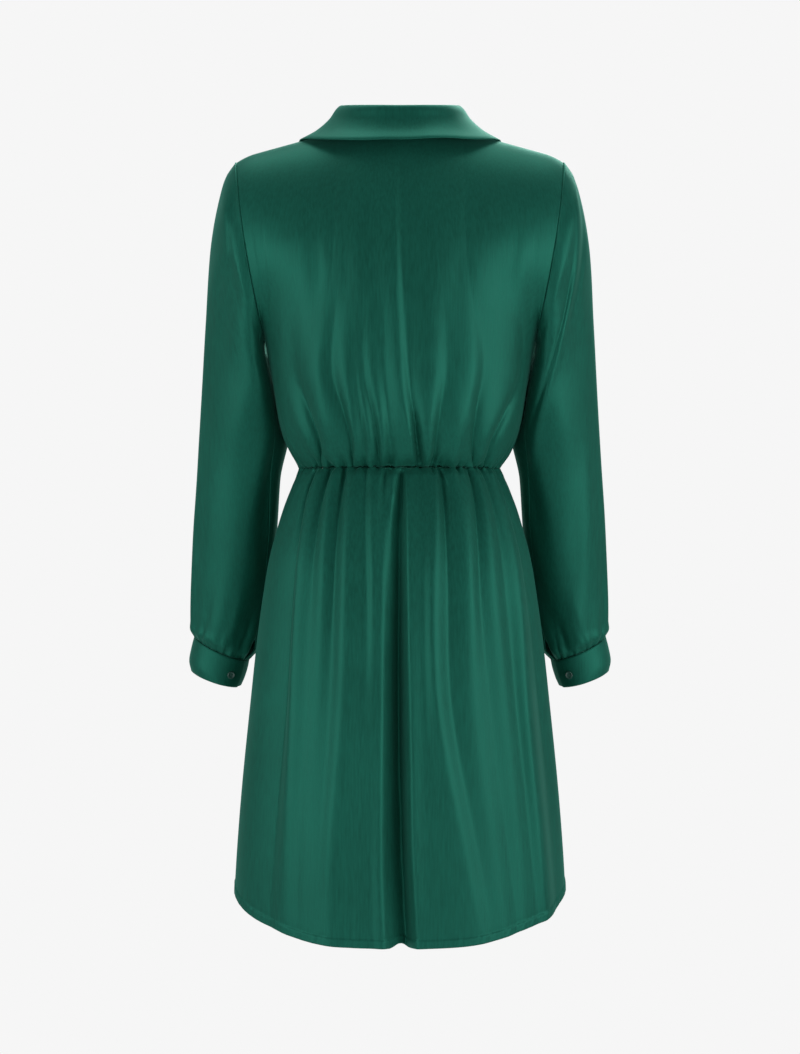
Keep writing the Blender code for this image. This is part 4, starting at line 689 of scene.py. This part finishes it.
def shell(name, middles, normals, thickness, material, slit_from=None):
    """A closed shell round a grid of mid-surface points, with a rounded rim. With slit_from the rows
    close into a tube, which stays open from that row on."""
    rows, columns = middles.shape[:2]
    number = np.arange(rows * columns).reshape(rows, columns)
    if slit_from is not None:
        number[: slit_from + 1, -1] = number[: slit_from + 1, 0]
    quads = np.stack([number[:-1, :-1], number[:-1, 1:], number[1:, 1:], number[1:, :-1]], -1)
    quads = quads.reshape(-1, 4)
    count = rows * columns
    middle, normal = middles.reshape(-1, 3), normals.reshape(-1, 3)
    half = np.broadcast_to(thickness, (rows, columns)).reshape(-1, 1) / 2
    starts, ends = quads.ravel(), np.roll(quads, -1, axis=1).ravel()
    open_edge = ~np.isin(starts * count + ends, ends * count + starts)
    starts, ends = starts[open_edge], ends[open_edge]
    away = np.zeros_like(middle)
    sideways = unit(np.cross(middle[ends] - middle[starts], normal[starts]))
    np.add.at(away, starts, sideways)
    np.add.at(away, ends, sideways)
    inside = middle[quads].mean(1) - middle[quads[:, 0]]
    turned = np.cross(middle[quads[:, 1]] - middle[quads[:, 0]], inside)
    facing = np.sign((turned * normal[quads[:, 0]]).sum())
    rim_points = middle + unit(away) * half * facing
    points = np.concatenate([middle + normal * half, middle - normal * half, rim_points])
    outer_rim = np.stack([ends, starts, starts + 2 * count, ends + 2 * count], -1)
    inner_rim = np.stack([ends + 2 * count, starts + 2 * count, starts + count, ends + count], -1)
    rim = np.concatenate([outer_rim, inner_rim])
    faces = np.concatenate([quads, quads[:, ::-1] + count, rim])
    if facing < 0:
        faces = faces[:, ::-1]
    used, faces = np.unique(faces, return_inverse=True)
    return mesh_object(name, points[used], faces.reshape(-1, 4), material)


def mesh_object(name, points, faces, material):
    mesh = bpy.data.meshes.new(name)
    mesh.from_pydata(points.tolist(), [], faces.tolist())
    mesh.update()
    mesh.shade_smooth()
    mesh.materials.append(material)
    piece = bpy.data.objects.new(name, mesh)
    bpy.context.scene.collection.objects.link(piece)
    return piece


def spread(low, high, count, *dense):
    """count places from low to high, closer together round the dense (place, reach, strength) spots."""
    fine = np.linspace(low, high, 2001)
    weight = np.ones_like(fine)
    for place, reach, strength in dense:
        weight += strength * np.exp(-(((fine - place) / reach) ** 2))
    total = np.concatenate([[0], np.cumsum((weight[1:] + weight[:-1]) / 2)])
    return np.interp(np.linspace(0, total[-1], count), total, fine)


def from_ends(middles, axis):
    """Distances of a grid's points from the first and the last line along an axis."""
    steps = np.linalg.norm(np.diff(middles, axis=axis), axis=-1)
    first = np.cumsum(np.insert(steps, 0, 0, axis=axis), axis=axis)
    return first, first.take([-1], axis=axis) - first


Roll = namedtuple("Roll", "reach depth")


def rolled(distance, roll):
    """The cloth turns in towards a seam in a quarter round."""
    share = 1 - np.clip(distance / roll.reach, 0, 1)
    return -roll.depth * (1 - np.sqrt(1 - share**2))


def groove(distance, place, width, depth):
    return -depth * np.exp(-(((distance - place) / width) ** 2))


Gathers = namedtuple("Gathers", "gap rise reach")
Pucker = namedtuple("Pucker", "place rise width reach lean")


def uneven_puckers(seed, low, high, gathers):
    """Small gathers along a seam: ridges and dents by turns, no two alike."""
    random = np.random.default_rng(seed)
    puckers, place, sign = [], low, 1
    while place < high:
        size = gathers.gap * random.uniform(0.45, 1.55)
        rise = sign * gathers.rise * random.uniform(0.3, 1.3)
        width = size * random.uniform(0.4, 0.75)
        reach = gathers.reach * random.uniform(0.4, 1.7)
        puckers.append(Pucker(place, rise, width, reach, random.uniform(-0.3, 0.3)))
        place, sign = place + size, -sign
    return puckers


def pucker_rise(puckers, along, away):
    total = np.zeros(np.broadcast(along, away).shape)
    for place, rise, width, reach, lean in puckers:
        total += rise * np.exp(-(((along - place - lean * away) / width) ** 2) - away / reach)
    return total * ease(away / (3 * MM) + 0.35)


HEM_BAND = 9 * MM
HEM_STITCH = (1.1 * MM, 0.55 * MM)  # width and depth of the stitched line
HEM_FULLNESS = 0.25 * MM
HEM_RIPPLE = 0.16 * MM
HEM_RIPPLE_LENGTHS = (7 * MM, 11 * MM, 17 * MM)


def hem_rise(distance, along, seed):
    """A turned hem: a stitched line, a slightly fuller band and its small uneven ripples."""
    random = np.random.default_rng(seed)
    slanted = 2 * math.pi * (along + distance * 0.5)
    ripple = sum(
        random.uniform(0.5, 1) * np.sin(slanted / length + random.uniform(0, 6.3))
        for length in HEM_RIPPLE_LENGTHS
    )
    band = ease((HEM_BAND + 1.5 * MM - distance) / (3 * MM))
    in_band = np.exp(-(((distance - HEM_BAND * 0.6) / (HEM_BAND * 0.8)) ** 2))
    stitched = groove(distance, HEM_BAND, *HEM_STITCH)
    return stitched + band * HEM_FULLNESS + ripple * HEM_RIPPLE * in_band


def hem_cloth(distance):
    return CLOTH * (1 + 0.8 * ease((HEM_BAND + 0.8 * MM - distance) / (1.6 * MM)))


# ---------------------------------------------------------------- panels
# Rows and columns of each piece's mid surface.
BODICE_BACK_GRID = (140, 270)
BODICE_FRONT_GRID = (110, 190)
SKIRT_BACK_GRID = (150, 290)
SKIRT_FRONT_GRID = (130, 190)
SLEEVE_GRID = (140, 170)
CUFF_GRID = (18, 160)
COLLAR_GRID = (160, 40)

# How the cloth turns in at each kind of seam.
BODICE_WAIST_ROLL = Roll(3.6 * MM, 2.6 * MM)
SKIRT_WAIST_ROLL = Roll(3.2 * MM, 2.4 * MM)
SIDE_ROLL = Roll(2.2 * MM, 0.9 * MM)
SHOULDER_ROLL = Roll(2.0 * MM, 0.7 * MM)
ARMHOLE_ROLL = Roll(2.6 * MM, 1.0 * MM)
SLEEVE_END_ROLL = Roll(3.0 * MM, 1.4 * MM)
UNDERARM_ROLL = Roll(1.8 * MM, 0.7 * MM)

# Small gathers at the waist, and longer ones that fan out from it; then those of a sleeve's ends.
BODICE_GATHERS = (Gathers(6 * MM, 2.3 * MM, 11 * MM), Gathers(11 * MM, 2.6 * MM, 30 * MM))
SKIRT_GATHERS = (Gathers(6 * MM, 2.7 * MM, 10 * MM), Gathers(11 * MM, 1.8 * MM, 22 * MM))
SLEEVE_END_GATHERS = Gathers(6.5 * MM, 1.5 * MM, 15 * MM)
SLEEVE_HEAD_GATHERS = Gathers(12 * MM, 0.35 * MM, 9 * MM)

SIDE_INSET = 0.0005
WAIST_ARC = 155 * MM  # half a panel's width at the waist
BODY_MIDDLE = np.array([0.0, SIDE_Y, 0.0])
Scallop = namedtuple("Scallop", "length height phase")
SCALLOPS = (
    Scallop(7.3 * MM, 0.45 * MM, 1.1),
    Scallop(11.9 * MM, 0.40 * MM, 2.3),
    Scallop(5.1 * MM, 0.20 * MM, 0.4),
)
SCALLOP_REACH = 7 * MM
SETTLE_REACH = 38 * MM
SETTLE_PASSES = 160


def scalloped(middles, along):
    """The gathers pull the waist seam a little up and down."""
    away = from_ends(middles, 0)[0]
    wave = sum(
        scallop.height * np.sin(2 * math.pi * along / scallop.length + scallop.phase) for scallop in SCALLOPS
    )
    return middles + vectors(0.0, 0.0, wave * np.exp(-away / SCALLOP_REACH))


def waist_puckers(seed, kinds):
    return [
        pucker
        for n, gathers in enumerate(kinds)
        for pucker in uneven_puckers(seed + 50 * n, -WAIST_ARC, WAIST_ARC, gathers)
    ]


def settled(middles, u):
    """The cloth runs on smoothly past the underarm, where the body's two forms meet."""
    weight = np.exp(-(((middles[..., 2] - UNDERARM_Z) / SETTLE_REACH) ** 2)) * ease((1 - np.abs(u)) / 0.12)
    weight = weight[1:-1, :, None] * 0.5
    middles = middles.copy()
    for _ in range(SETTLE_PASSES):
        middles[1:-1] += weight * ((middles[:-2] + middles[2:]) / 2 - middles[1:-1])
    return middles


def outward_from_body(middles):
    return (middles - BODY_MIDDLE) * np.array([1.0, 1.0, 0.0])


def make_bodice_back(material):
    edge = 1 - SIDE_INSET
    rows, columns = BODICE_BACK_GRID
    v = spread(0, 2, rows, (0, 0.05, 10), (0, 0.3, 2), (2, 0.06, 3))[:, None]
    u = spread(-edge, edge, columns, (-1, 0.02, 4), (1, 0.02, 4))[None, :]
    middles = settled(bodice_point(u, v, False, BODICE_BACK_FOLDS), u)
    middles = scalloped(middles, u * WAIST_ARC)
    normals = grid_normals(middles, outward_from_body(middles))
    middles = middles + normals * bodice_seams(middles, u, 11)[..., None]
    normals = grid_normals(middles, outward_from_body(middles))
    return shell("dress_bodice_back", middles, normals, CLOTH, material)


def bodice_seams(middles, u, seed):
    """Relief of a bodice panel along its waist, side, armhole and shoulder seams."""
    waist, top = from_ends(middles, 0)
    first, last = from_ends(middles, 1)
    side = np.where(np.abs(u + 1) < np.abs(u - 1), first, last)
    return (
        rolled(waist, BODICE_WAIST_ROLL)
        + pucker_rise(waist_puckers(seed, BODICE_GATHERS), u * WAIST_ARC, waist)
        + rolled(side, SIDE_ROLL)
        + rolled(top, SHOULDER_ROLL) * (np.abs(u) > NECK_SHARE)
    )


def wrap_edge(v, side):
    """u of the wrap edge of a front whose own side is side (+1 left), at each height v."""
    low, high = np.full(v.shape, -0.9), np.full(v.shape, 1.0)
    for _ in range(30):
        middle = (low + high) / 2
        point = bodice_point(middle * side, v, True, ())
        edge_x = through(column(BODICE_EDGE, "z"), column(BODICE_EDGE, "x"), point[..., 2])
        inside = point[..., 0] * side < edge_x
        low, high = np.where(inside, middle, low), np.where(inside, high, middle)
    return low * side


def front_lift(u, side, over):
    step = WRAP_STEP / 2 if over else -WRAP_STEP / 2
    return step * ease((1 - u * side) / 0.3)


def make_bodice_front(name, side, material):
    rows, columns = BODICE_FRONT_GRID
    v = spread(0, 2, rows, (0, 0.05, 10), (0, 0.3, 2), (2, 0.06, 2))[:, None]
    wrap, edge = wrap_edge(v, side), (1 - SIDE_INSET) * side
    u = mix(wrap, edge, spread(0, 1, columns, (0, 0.06, 3), (1, 0.02, 3))[None, :])
    lift = front_lift(u, side, side < 0)
    middles = settled(bodice_point(u, v, True, BODICE_FRONT_FOLDS, lift), u)
    middles = scalloped(middles, u * WAIST_ARC)
    normals = grid_normals(middles, outward_from_body(middles))
    free = from_ends(middles, 1)[0]
    rise = bodice_seams(middles, u, 12 + side) * ease(free / (4 * MM)) + hem_rise(free, v * 0.2, 5 + side)
    middles = middles + normals * rise[..., None]
    normals = grid_normals(middles, outward_from_body(middles))
    return shell(name, middles, normals, hem_cloth(free), material)


# Where the fronts of the skirt end, across the front at each level, for the left-hand wearer's
# side: the over front's edge and the under front's edge.
SKIRT_OVER_EDGE = (0.737, 0.700, 0.670, 0.645, 0.635)
SKIRT_UNDER_EDGE = (-0.737, -0.755, -0.775, -0.790, -0.795)
HEM_CORNER = 60 * MM
HEM_NOTCH = 5 * MM
HEM_NOTCH_WIDTH = 0.05


def skirt_edge_turn(edge, z):
    return np.arcsin(np.clip(through([level * MM for level in SKIRT_LEVELS], edge, z), -1, 1))


def skirt_height(turn, v, front, corner):
    """Height of each place of a skirt panel. corner is the turn of a rounded hem corner."""
    bottom = hem_z(turn / (math.pi / 2), front)
    if not front:
        bottom = bottom + HEM_NOTCH * ease(1 - np.abs(turn) / HEM_NOTCH_WIDTH)
    if corner is not None:
        away = HEM_CORNER - np.minimum(HEM_CORNER, np.abs(turn - corner) * 158 * MM)
        bottom = bottom + HEM_CORNER - np.sqrt(np.maximum(0.0, HEM_CORNER**2 - away**2))
    return mix(WAIST_Z, bottom, v)


def make_skirt_panel(name, grid, low, high, lift, corner, free_side, seed, material):
    """low and high give the edges' turns at a height, lift how far a turn is moved out.
    free_side is -1 or 1 where the low or high edge is the free edge of the wrap, or else 0,
    for the back."""
    front = free_side != 0
    rows, columns = grid
    v = spread(0, 1, rows, (0, 0.014, 14), (0, 0.1, 1.5), (1, 0.016, 8))[:, None]
    level = mix(WAIST_Z, SKIRT_LEVELS[-1] * MM, v)
    turn = mix(low(level), high(level), np.linspace(0, 1, columns)[None, :])
    z = skirt_height(turn, v, front, corner)
    middles = skirt_point(turn, z, front, lift(turn / (math.pi / 2)))
    middles = scalloped(middles, turn / (math.pi / 2) * WAIST_ARC)
    normals = grid_normals(middles, outward_from_body(middles))
    waist, hem = from_ends(middles, 0)
    first, last = from_ends(middles, 1)
    free = {-1: first, 0: np.ones_like(first), 1: last}[free_side]
    seam = {-1: last, 0: np.minimum(first, last), 1: first}[free_side]
    puckers = waist_puckers(seed, SKIRT_GATHERS)
    rise = (
        rolled(waist, SKIRT_WAIST_ROLL)
        + pucker_rise(puckers, turn / (math.pi / 2) * WAIST_ARC, waist)
        + rolled(seam, SIDE_ROLL)
        + hem_rise(hem, first, seed + 1)
        + hem_rise(free, waist, seed + 2)
    )
    middles = middles + normals * rise[..., None]
    normals = grid_normals(middles, outward_from_body(middles))
    return shell(name, middles, normals, hem_cloth(np.minimum(hem, free)), material)


def make_skirts(material):
    side = (1 - SIDE_INSET) * math.pi / 2

    def seam(sign):
        return lambda z: np.full(z.shape, side * sign)

    def over_edge(z):
        return skirt_edge_turn(SKIRT_OVER_EDGE, z)

    def under_edge(z):
        return skirt_edge_turn(SKIRT_UNDER_EDGE, z)

    hem = np.array(SKIRT_LEVELS[-1] * MM)
    back = make_skirt_panel(
        "dress_skirt_back", SKIRT_BACK_GRID, seam(-1), seam(1), lambda u: u * 0, None, 0, 11, material
    )
    right = make_skirt_panel(
        "dress_skirt_front_right", SKIRT_FRONT_GRID, seam(-1), over_edge,
        lambda u: front_lift(u, -1, True), float(over_edge(hem)), 1, 31, material,
    )
    left = make_skirt_panel(
        "dress_skirt_front_left", SKIRT_FRONT_GRID, under_edge, seam(1),
        lambda u: front_lift(u, 1, False), float(under_edge(hem)), -1, 41, material,
    )
    return back, right, left


def make_sleeve(name, side, material):
    """A tube from the armhole to the cuff, open along the underarm seam above the cuff."""
    rows, columns = SLEEVE_GRID
    place = spread(0, 1, rows, (0, 0.012, 10), (0, 0.06, 1), (1, 0.03, 8))
    slit_from = int(np.searchsorted(place, 1 - SLIT_LENGTH / SLEEVE_LENGTH))
    place = place[:, None]
    share = spread(0, 1, columns, (0, 0.02, 3), (1, 0.02, 3))[None, :]
    turn = SLEEVE_SEAM_TURN + share
    middles = sleeve_point(place, turn, OWN_CREASES[side])
    step = unit(sleeve_point(place, turn + 0.01) - sleeve_point(place, turn - 0.01))
    along = np.clip((place - place[slit_from]) / (1 - place[slit_from]), 0, 1)
    opened = np.sin(math.pi * along**0.8) * SLIT_GAP / 2 + SLIT_START_GAP * ease(along / 0.1)
    gap = np.where(along > 0, opened, 0)
    nearness = np.maximum(0.0, 1 - np.minimum(share, 1 - share) / SLIT_SPREAD)
    middles = middles + step * (gap * nearness * np.where(share < 0.5, 1, -1))[..., None]
    middle = ring_middle(ring_between(SLEEVE_RINGS, place))
    normals = grid_normals(middles, middles - middle, True)
    top, cuff = from_ends(middles, 0)
    first, last = from_ends(middles, 1)
    seam = np.minimum(first, last)
    puckers = uneven_puckers(60 + side, 0, SLEEVE_GIRTH, SLEEVE_END_GATHERS)
    head = uneven_puckers(70 + side, 0, 2 * SLEEVE_GIRTH, SLEEVE_HEAD_GATHERS)
    apart = ease(seam / (5 * MM))
    rise = (
        rolled(top, ARMHOLE_ROLL)
        + rolled(cuff, SLEEVE_END_ROLL)
        + rolled(seam, UNDERARM_ROLL)
        + pucker_rise(puckers, share * SLEEVE_GIRTH, cuff) * apart
        + pucker_rise(head, share * 2 * SLEEVE_GIRTH, top) * apart
    )
    middles = middles + normals * rise[..., None]
    middles[-1, :, 2] -= CUFF_TUCK
    normals = grid_normals(middles, middles - middle, True)
    mirror = np.array([side, 1.0, 1.0])
    return shell(name, middles * mirror, normals * mirror, CLOTH, material, slit_from)


CUFF_CLOTH = 1.6 * MM
CUFF_TUCK = 1.6 * MM  # the sleeve's gathered end is sewn into the cuff's upper edge


def cuff_turn(share):
    """The turn of a place along the cuff's strip; 0 is the upper end of the lap."""
    return CUFF_END_TURN - share * (1 + CUFF_LAP)


def cuff_point(share, place):
    share, place = np.broadcast_arrays(share, place)
    ring = ring_between(CUFF_RINGS, place)
    point = sleeve_ring_point(ring, cuff_turn(share))
    out = unit(point - ring_middle(ring))
    strip = 1 + CUFF_LAP
    upper = 1 - ease((share * strip - CUFF_LAP - 0.02) / 0.08)
    under = ease((share * strip - 0.90) / 0.08)
    return point + out * (CUFF_LAP_STEP / 2 * (upper - under))[..., None]


def make_cuff(name, side, material):
    rows, columns = CUFF_GRID
    share, place = np.linspace(0, 1, columns)[None, :], np.linspace(0, 1, rows)[:, None]
    middles = cuff_point(share, place)
    middle = ring_middle(ring_between(CUFF_RINGS, place))
    normals = grid_normals(middles, middles - middle)
    mirror = np.array([side, 1.0, 1.0])
    return shell(name, middles * mirror, normals * mirror, CUFF_CLOTH, material)


NECK_TUCK = 0.9 * MM  # the collar's lower edge is sewn down onto the neckline


def make_collar(material):
    rows, columns = COLLAR_GRID
    share = np.linspace(-1, 1, rows)[:, None]
    k = spread(0, len(COLLAR_PROFILE) - 1, columns, (4, 1.2, 2))[None, :]
    middles = collar_point(share, k)
    middles[:, 0, 2] -= NECK_TUCK * ease((0.66 - np.abs(share[:, 0])) / 0.1)
    normals = grid_normals(middles, outward_from_body(middles))
    return shell("dress_collar", middles, normals, COLLAR_CLOTH, material)


# ---------------------------------------------------------------- materials
DRESS_GREEN = (0.010, 0.118, 0.082)
BUTTON_GREEN = (0.045, 0.10, 0.085)


def add_node(tree, kind, inputs=None, **settings):
    """A new node with its settings and input values; an input given as an output socket is linked."""
    made = tree.nodes.new(kind)
    for name, value in settings.items():
        setattr(made, name, value)
    for name, value in (inputs or {}).items():
        if isinstance(value, bpy.types.NodeSocket):
            tree.links.new(value, made.inputs[name])
        else:
            made.inputs[name].default_value = value
    return made


def noise(tree, size, detail=2.0, roughness=0.5, seed=0.0):
    """Noise with a feature size in metres along x, y and z."""
    place = add_node(tree, "ShaderNodeTexCoord")
    scaled = add_node(tree, "ShaderNodeMapping", {"Vector": place.outputs["Object"]}, vector_type="POINT")
    scaled.inputs["Scale"].default_value = [1 / length for length in size]
    scaled.inputs["Location"].default_value = (seed, seed * 1.7, seed * 0.6)
    found = add_node(
        tree, "ShaderNodeTexNoise",
        {"Vector": scaled.outputs["Vector"], "Scale": 1.0, "Detail": detail, "Roughness": roughness},
    )
    return found.outputs["Fac"]


def remap(tree, value, low, high, to_low, to_high):
    return add_node(
        tree, "ShaderNodeMapRange",
        {"Value": value, "From Min": low, "From Max": high, "To Min": to_low, "To Max": to_high},
    ).outputs["Result"]


def product(tree, a, b):
    return add_node(tree, "ShaderNodeMath", {0: a, 1: b}, operation="MULTIPLY").outputs["Value"]


def tint(tree, color, factor):
    """The colour made lighter or darker by a factor."""
    return add_node(
        tree, "ShaderNodeVectorMath", {0: (*color,), "Scale": factor}, operation="SCALE"
    ).outputs["Vector"]


def satin():
    """Satin crepe: fine slubs run down the cloth, the sheen is broad and the dye a little uneven."""
    material = bpy.data.materials.new("dress_satin")
    material.use_nodes = True
    tree = material.node_tree
    shader = tree.nodes["Principled BSDF"]
    slub = noise(tree, (0.0019, 0.0019, 0.024), 3.0, 0.6)
    fine = noise(tree, (0.0007, 0.0007, 0.0022), 2.0, 0.6, 3.1)
    cloudy = noise(tree, (0.09, 0.09, 0.13), 2.0, 0.5, 7.7)
    streaks = remap(tree, slub, 0.3, 0.7, 0.86, 1.14)
    clouds = remap(tree, cloudy, 0.3, 0.7, 0.93, 1.07)
    factor = product(tree, streaks, clouds)
    tree.links.new(tint(tree, DRESS_GREEN, factor), shader.inputs["Base Color"])
    tree.links.new(remap(tree, slub, 0.3, 0.7, 0.41, 0.53), shader.inputs["Roughness"])
    shader.inputs["Metallic"].default_value = 0.45
    shader.inputs["Specular IOR Level"].default_value = 0.30
    shader.inputs["Specular Tint"].default_value = (0.35, 1.0, 0.80, 1)
    shader.inputs["Sheen Weight"].default_value = 0.22
    shader.inputs["Sheen Roughness"].default_value = 0.45
    shader.inputs["Sheen Tint"].default_value = (0.25, 0.95, 0.75, 1)
    shader.inputs["Anisotropic"].default_value = 0.25
    relief = add_node(tree, "ShaderNodeBump", {"Height": slub, "Strength": 0.35, "Distance": 0.00025})
    crepe = add_node(
        tree, "ShaderNodeBump",
        {"Height": fine, "Strength": 0.30, "Distance": 0.00012, "Normal": relief.outputs["Normal"]},
    )
    tree.links.new(crepe.outputs["Normal"], shader.inputs["Normal"])
    return material


def pearl():
    """Dark pearly plastic: cloudy green-grey with a hard, slightly uneven gloss."""
    material = bpy.data.materials.new("button_pearl")
    material.use_nodes = True
    tree = material.node_tree
    shader = tree.nodes["Principled BSDF"]
    swirl = noise(tree, (0.0022, 0.0022, 0.0012), 3.0, 0.6, 1.9)
    factor = remap(tree, swirl, 0.3, 0.7, 0.55, 1.6)
    tree.links.new(tint(tree, BUTTON_GREEN, factor), shader.inputs["Base Color"])
    tree.links.new(remap(tree, swirl, 0.3, 0.7, 0.14, 0.28), shader.inputs["Roughness"])
    shader.inputs["Coat Weight"].default_value = 0.5
    shader.inputs["Coat Roughness"].default_value = 0.1
    relief = add_node(tree, "ShaderNodeBump", {"Height": swirl, "Strength": 0.2, "Distance": 0.0001})
    tree.links.new(relief.outputs["Normal"], shader.inputs["Normal"])
    return material


# ---------------------------------------------------------------- camera, light and stage
# The photo's camera stands behind the wearer, level with the middle of the picture. A pixel is 1.15 mm.
CAMERA_DISTANCE = 4.0
CAMERA_Z = -0.4416
PICTURE_HEIGHT = 1.2121
BACKGROUND = 0.922


def make_camera():
    data = bpy.data.cameras.new("camera")
    data.sensor_fit = "VERTICAL"
    data.sensor_height = 24
    data.lens = data.sensor_height * CAMERA_DISTANCE / PICTURE_HEIGHT
    camera = bpy.data.objects.new("camera", data)
    camera.location = (0, CAMERA_DISTANCE, CAMERA_Z)
    camera.rotation_euler = (math.pi / 2, 0, math.pi)
    bpy.context.scene.collection.objects.link(camera)
    bpy.context.scene.camera = camera


SoftBox = namedtuple("SoftBox", "name place size watts")
SOFT_BOXES = [
    SoftBox("side_a", (-2.4, 1.6, -0.3), (1.4, 2.4), 30),
    SoftBox("side_b", (2.4, 1.6, -0.3), (1.4, 2.4), 25),
    SoftBox("bounce", (0.0, 1.3, -1.35), (3.4, 2.2), 9),
    SoftBox("top", (0.0, -0.4, 1.9), (2.6, 1.6), 26),
    SoftBox("front", (-0.7, -2.3, 1.25), (2.2, 1.3), 30),
]
LIT_POINT = (0.0, 0.0, -0.45)
ROOM_LIGHT = 0.33
ROOM_FROM_CAMERA = 0.45  # the room is darker behind the camera
ROOM_BELOW, ROOM_ABOVE = 1.25, 0.75


def make_lights():
    """Broad soft boxes at the sides, a bounce from the floor and a room that is darker behind the camera."""
    for box in SOFT_BOXES:
        data = bpy.data.lights.new(box.name, "AREA")
        data.shape = "RECTANGLE"
        data.size, data.size_y = box.size
        data.energy = box.watts
        light = bpy.data.objects.new(box.name, data)
        light.location = box.place
        aim = Vector(LIT_POINT) - Vector(box.place)
        light.rotation_euler = aim.to_track_quat("-Z", "Z").to_euler()
        bpy.context.scene.collection.objects.link(light)
    world = bpy.data.worlds.new("studio")
    world.use_nodes = True
    tree = world.node_tree
    place = add_node(tree, "ShaderNodeTexCoord").outputs["Generated"]
    way = add_node(tree, "ShaderNodeSeparateXYZ", {"Vector": place})
    level = remap(tree, way.outputs["Y"], 0.1, 0.95, 1.0, ROOM_FROM_CAMERA)
    height = remap(tree, way.outputs["Z"], -1.0, 1.0, ROOM_BELOW, ROOM_ABOVE)
    strength = product(tree, product(tree, level, height), ROOM_LIGHT)
    background = tree.nodes["Background"]
    background.inputs["Color"].default_value = (1, 1, 1, 1)
    tree.links.new(strength, background.inputs["Strength"])
    bpy.context.scene.world = world


def pale(name):
    material = bpy.data.materials.new(name)
    material.use_nodes = True
    nodes, links = material.node_tree.nodes, material.node_tree.links
    glow = nodes.new("ShaderNodeEmission")
    glow.inputs["Color"].default_value = (BACKGROUND, BACKGROUND, BACKGROUND, 1)
    links.new(glow.outputs["Emission"], nodes["Material Output"].inputs["Surface"])
    material.cycles.emission_sampling = "NONE"
    return material


def make_stage():
    """A pale floor and a pale surround, which the camera sees but which give no light."""
    material = pale("pale_stage")
    bpy.ops.mesh.primitive_circle_add(vertices=96, radius=14, fill_type="NGON", location=(0, 0, -1.42))
    floor = bpy.context.object
    bpy.ops.mesh.primitive_uv_sphere_add(segments=48, ring_count=24, radius=15, location=(0, 0, 0))
    surround = bpy.context.object
    for piece, name in ((floor, "floor"), (surround, "surround")):
        piece.name = name
        piece.data.materials.append(material)
        piece.visible_diffuse = piece.visible_glossy = False
        piece.visible_transmission = piece.visible_shadow = False


# ---------------------------------------------------------------- the dress
Cut = namedtuple("Cut", "width length area held")


def declare(piece, node):
    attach(piece, "root")
    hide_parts(node)


cloth = satin()
declare(make_bodice_back(cloth), "bodice_back")
declare(make_bodice_front("dress_bodice_front_left", 1, cloth), "bodice_front_left")
declare(make_bodice_front("dress_bodice_front_right", -1, cloth), "bodice_front_right")
declare(make_collar(cloth), "collar")
for skirt, node in zip(make_skirts(cloth), ("skirt_back", "skirt_front_right", "skirt_front_left")):
    declare(skirt, node)
for side_name, side_sign in (("left", 1), ("right", -1)):
    declare(make_sleeve(f"dress_sleeve_{side_name}", side_sign, cloth), f"sleeve_{side_name}")
    declare(make_cuff(f"dress_cuff_{side_name}", side_sign, cloth), f"cuff_{side_name}")
button_finish = pearl()
for side_name in ("left", "right"):
    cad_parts[f"button_{side_name}"].material_slots[0].material = button_finish

make_camera()
make_lights()
make_stage()
bpy.context.scene.view_settings.view_transform = "Standard"
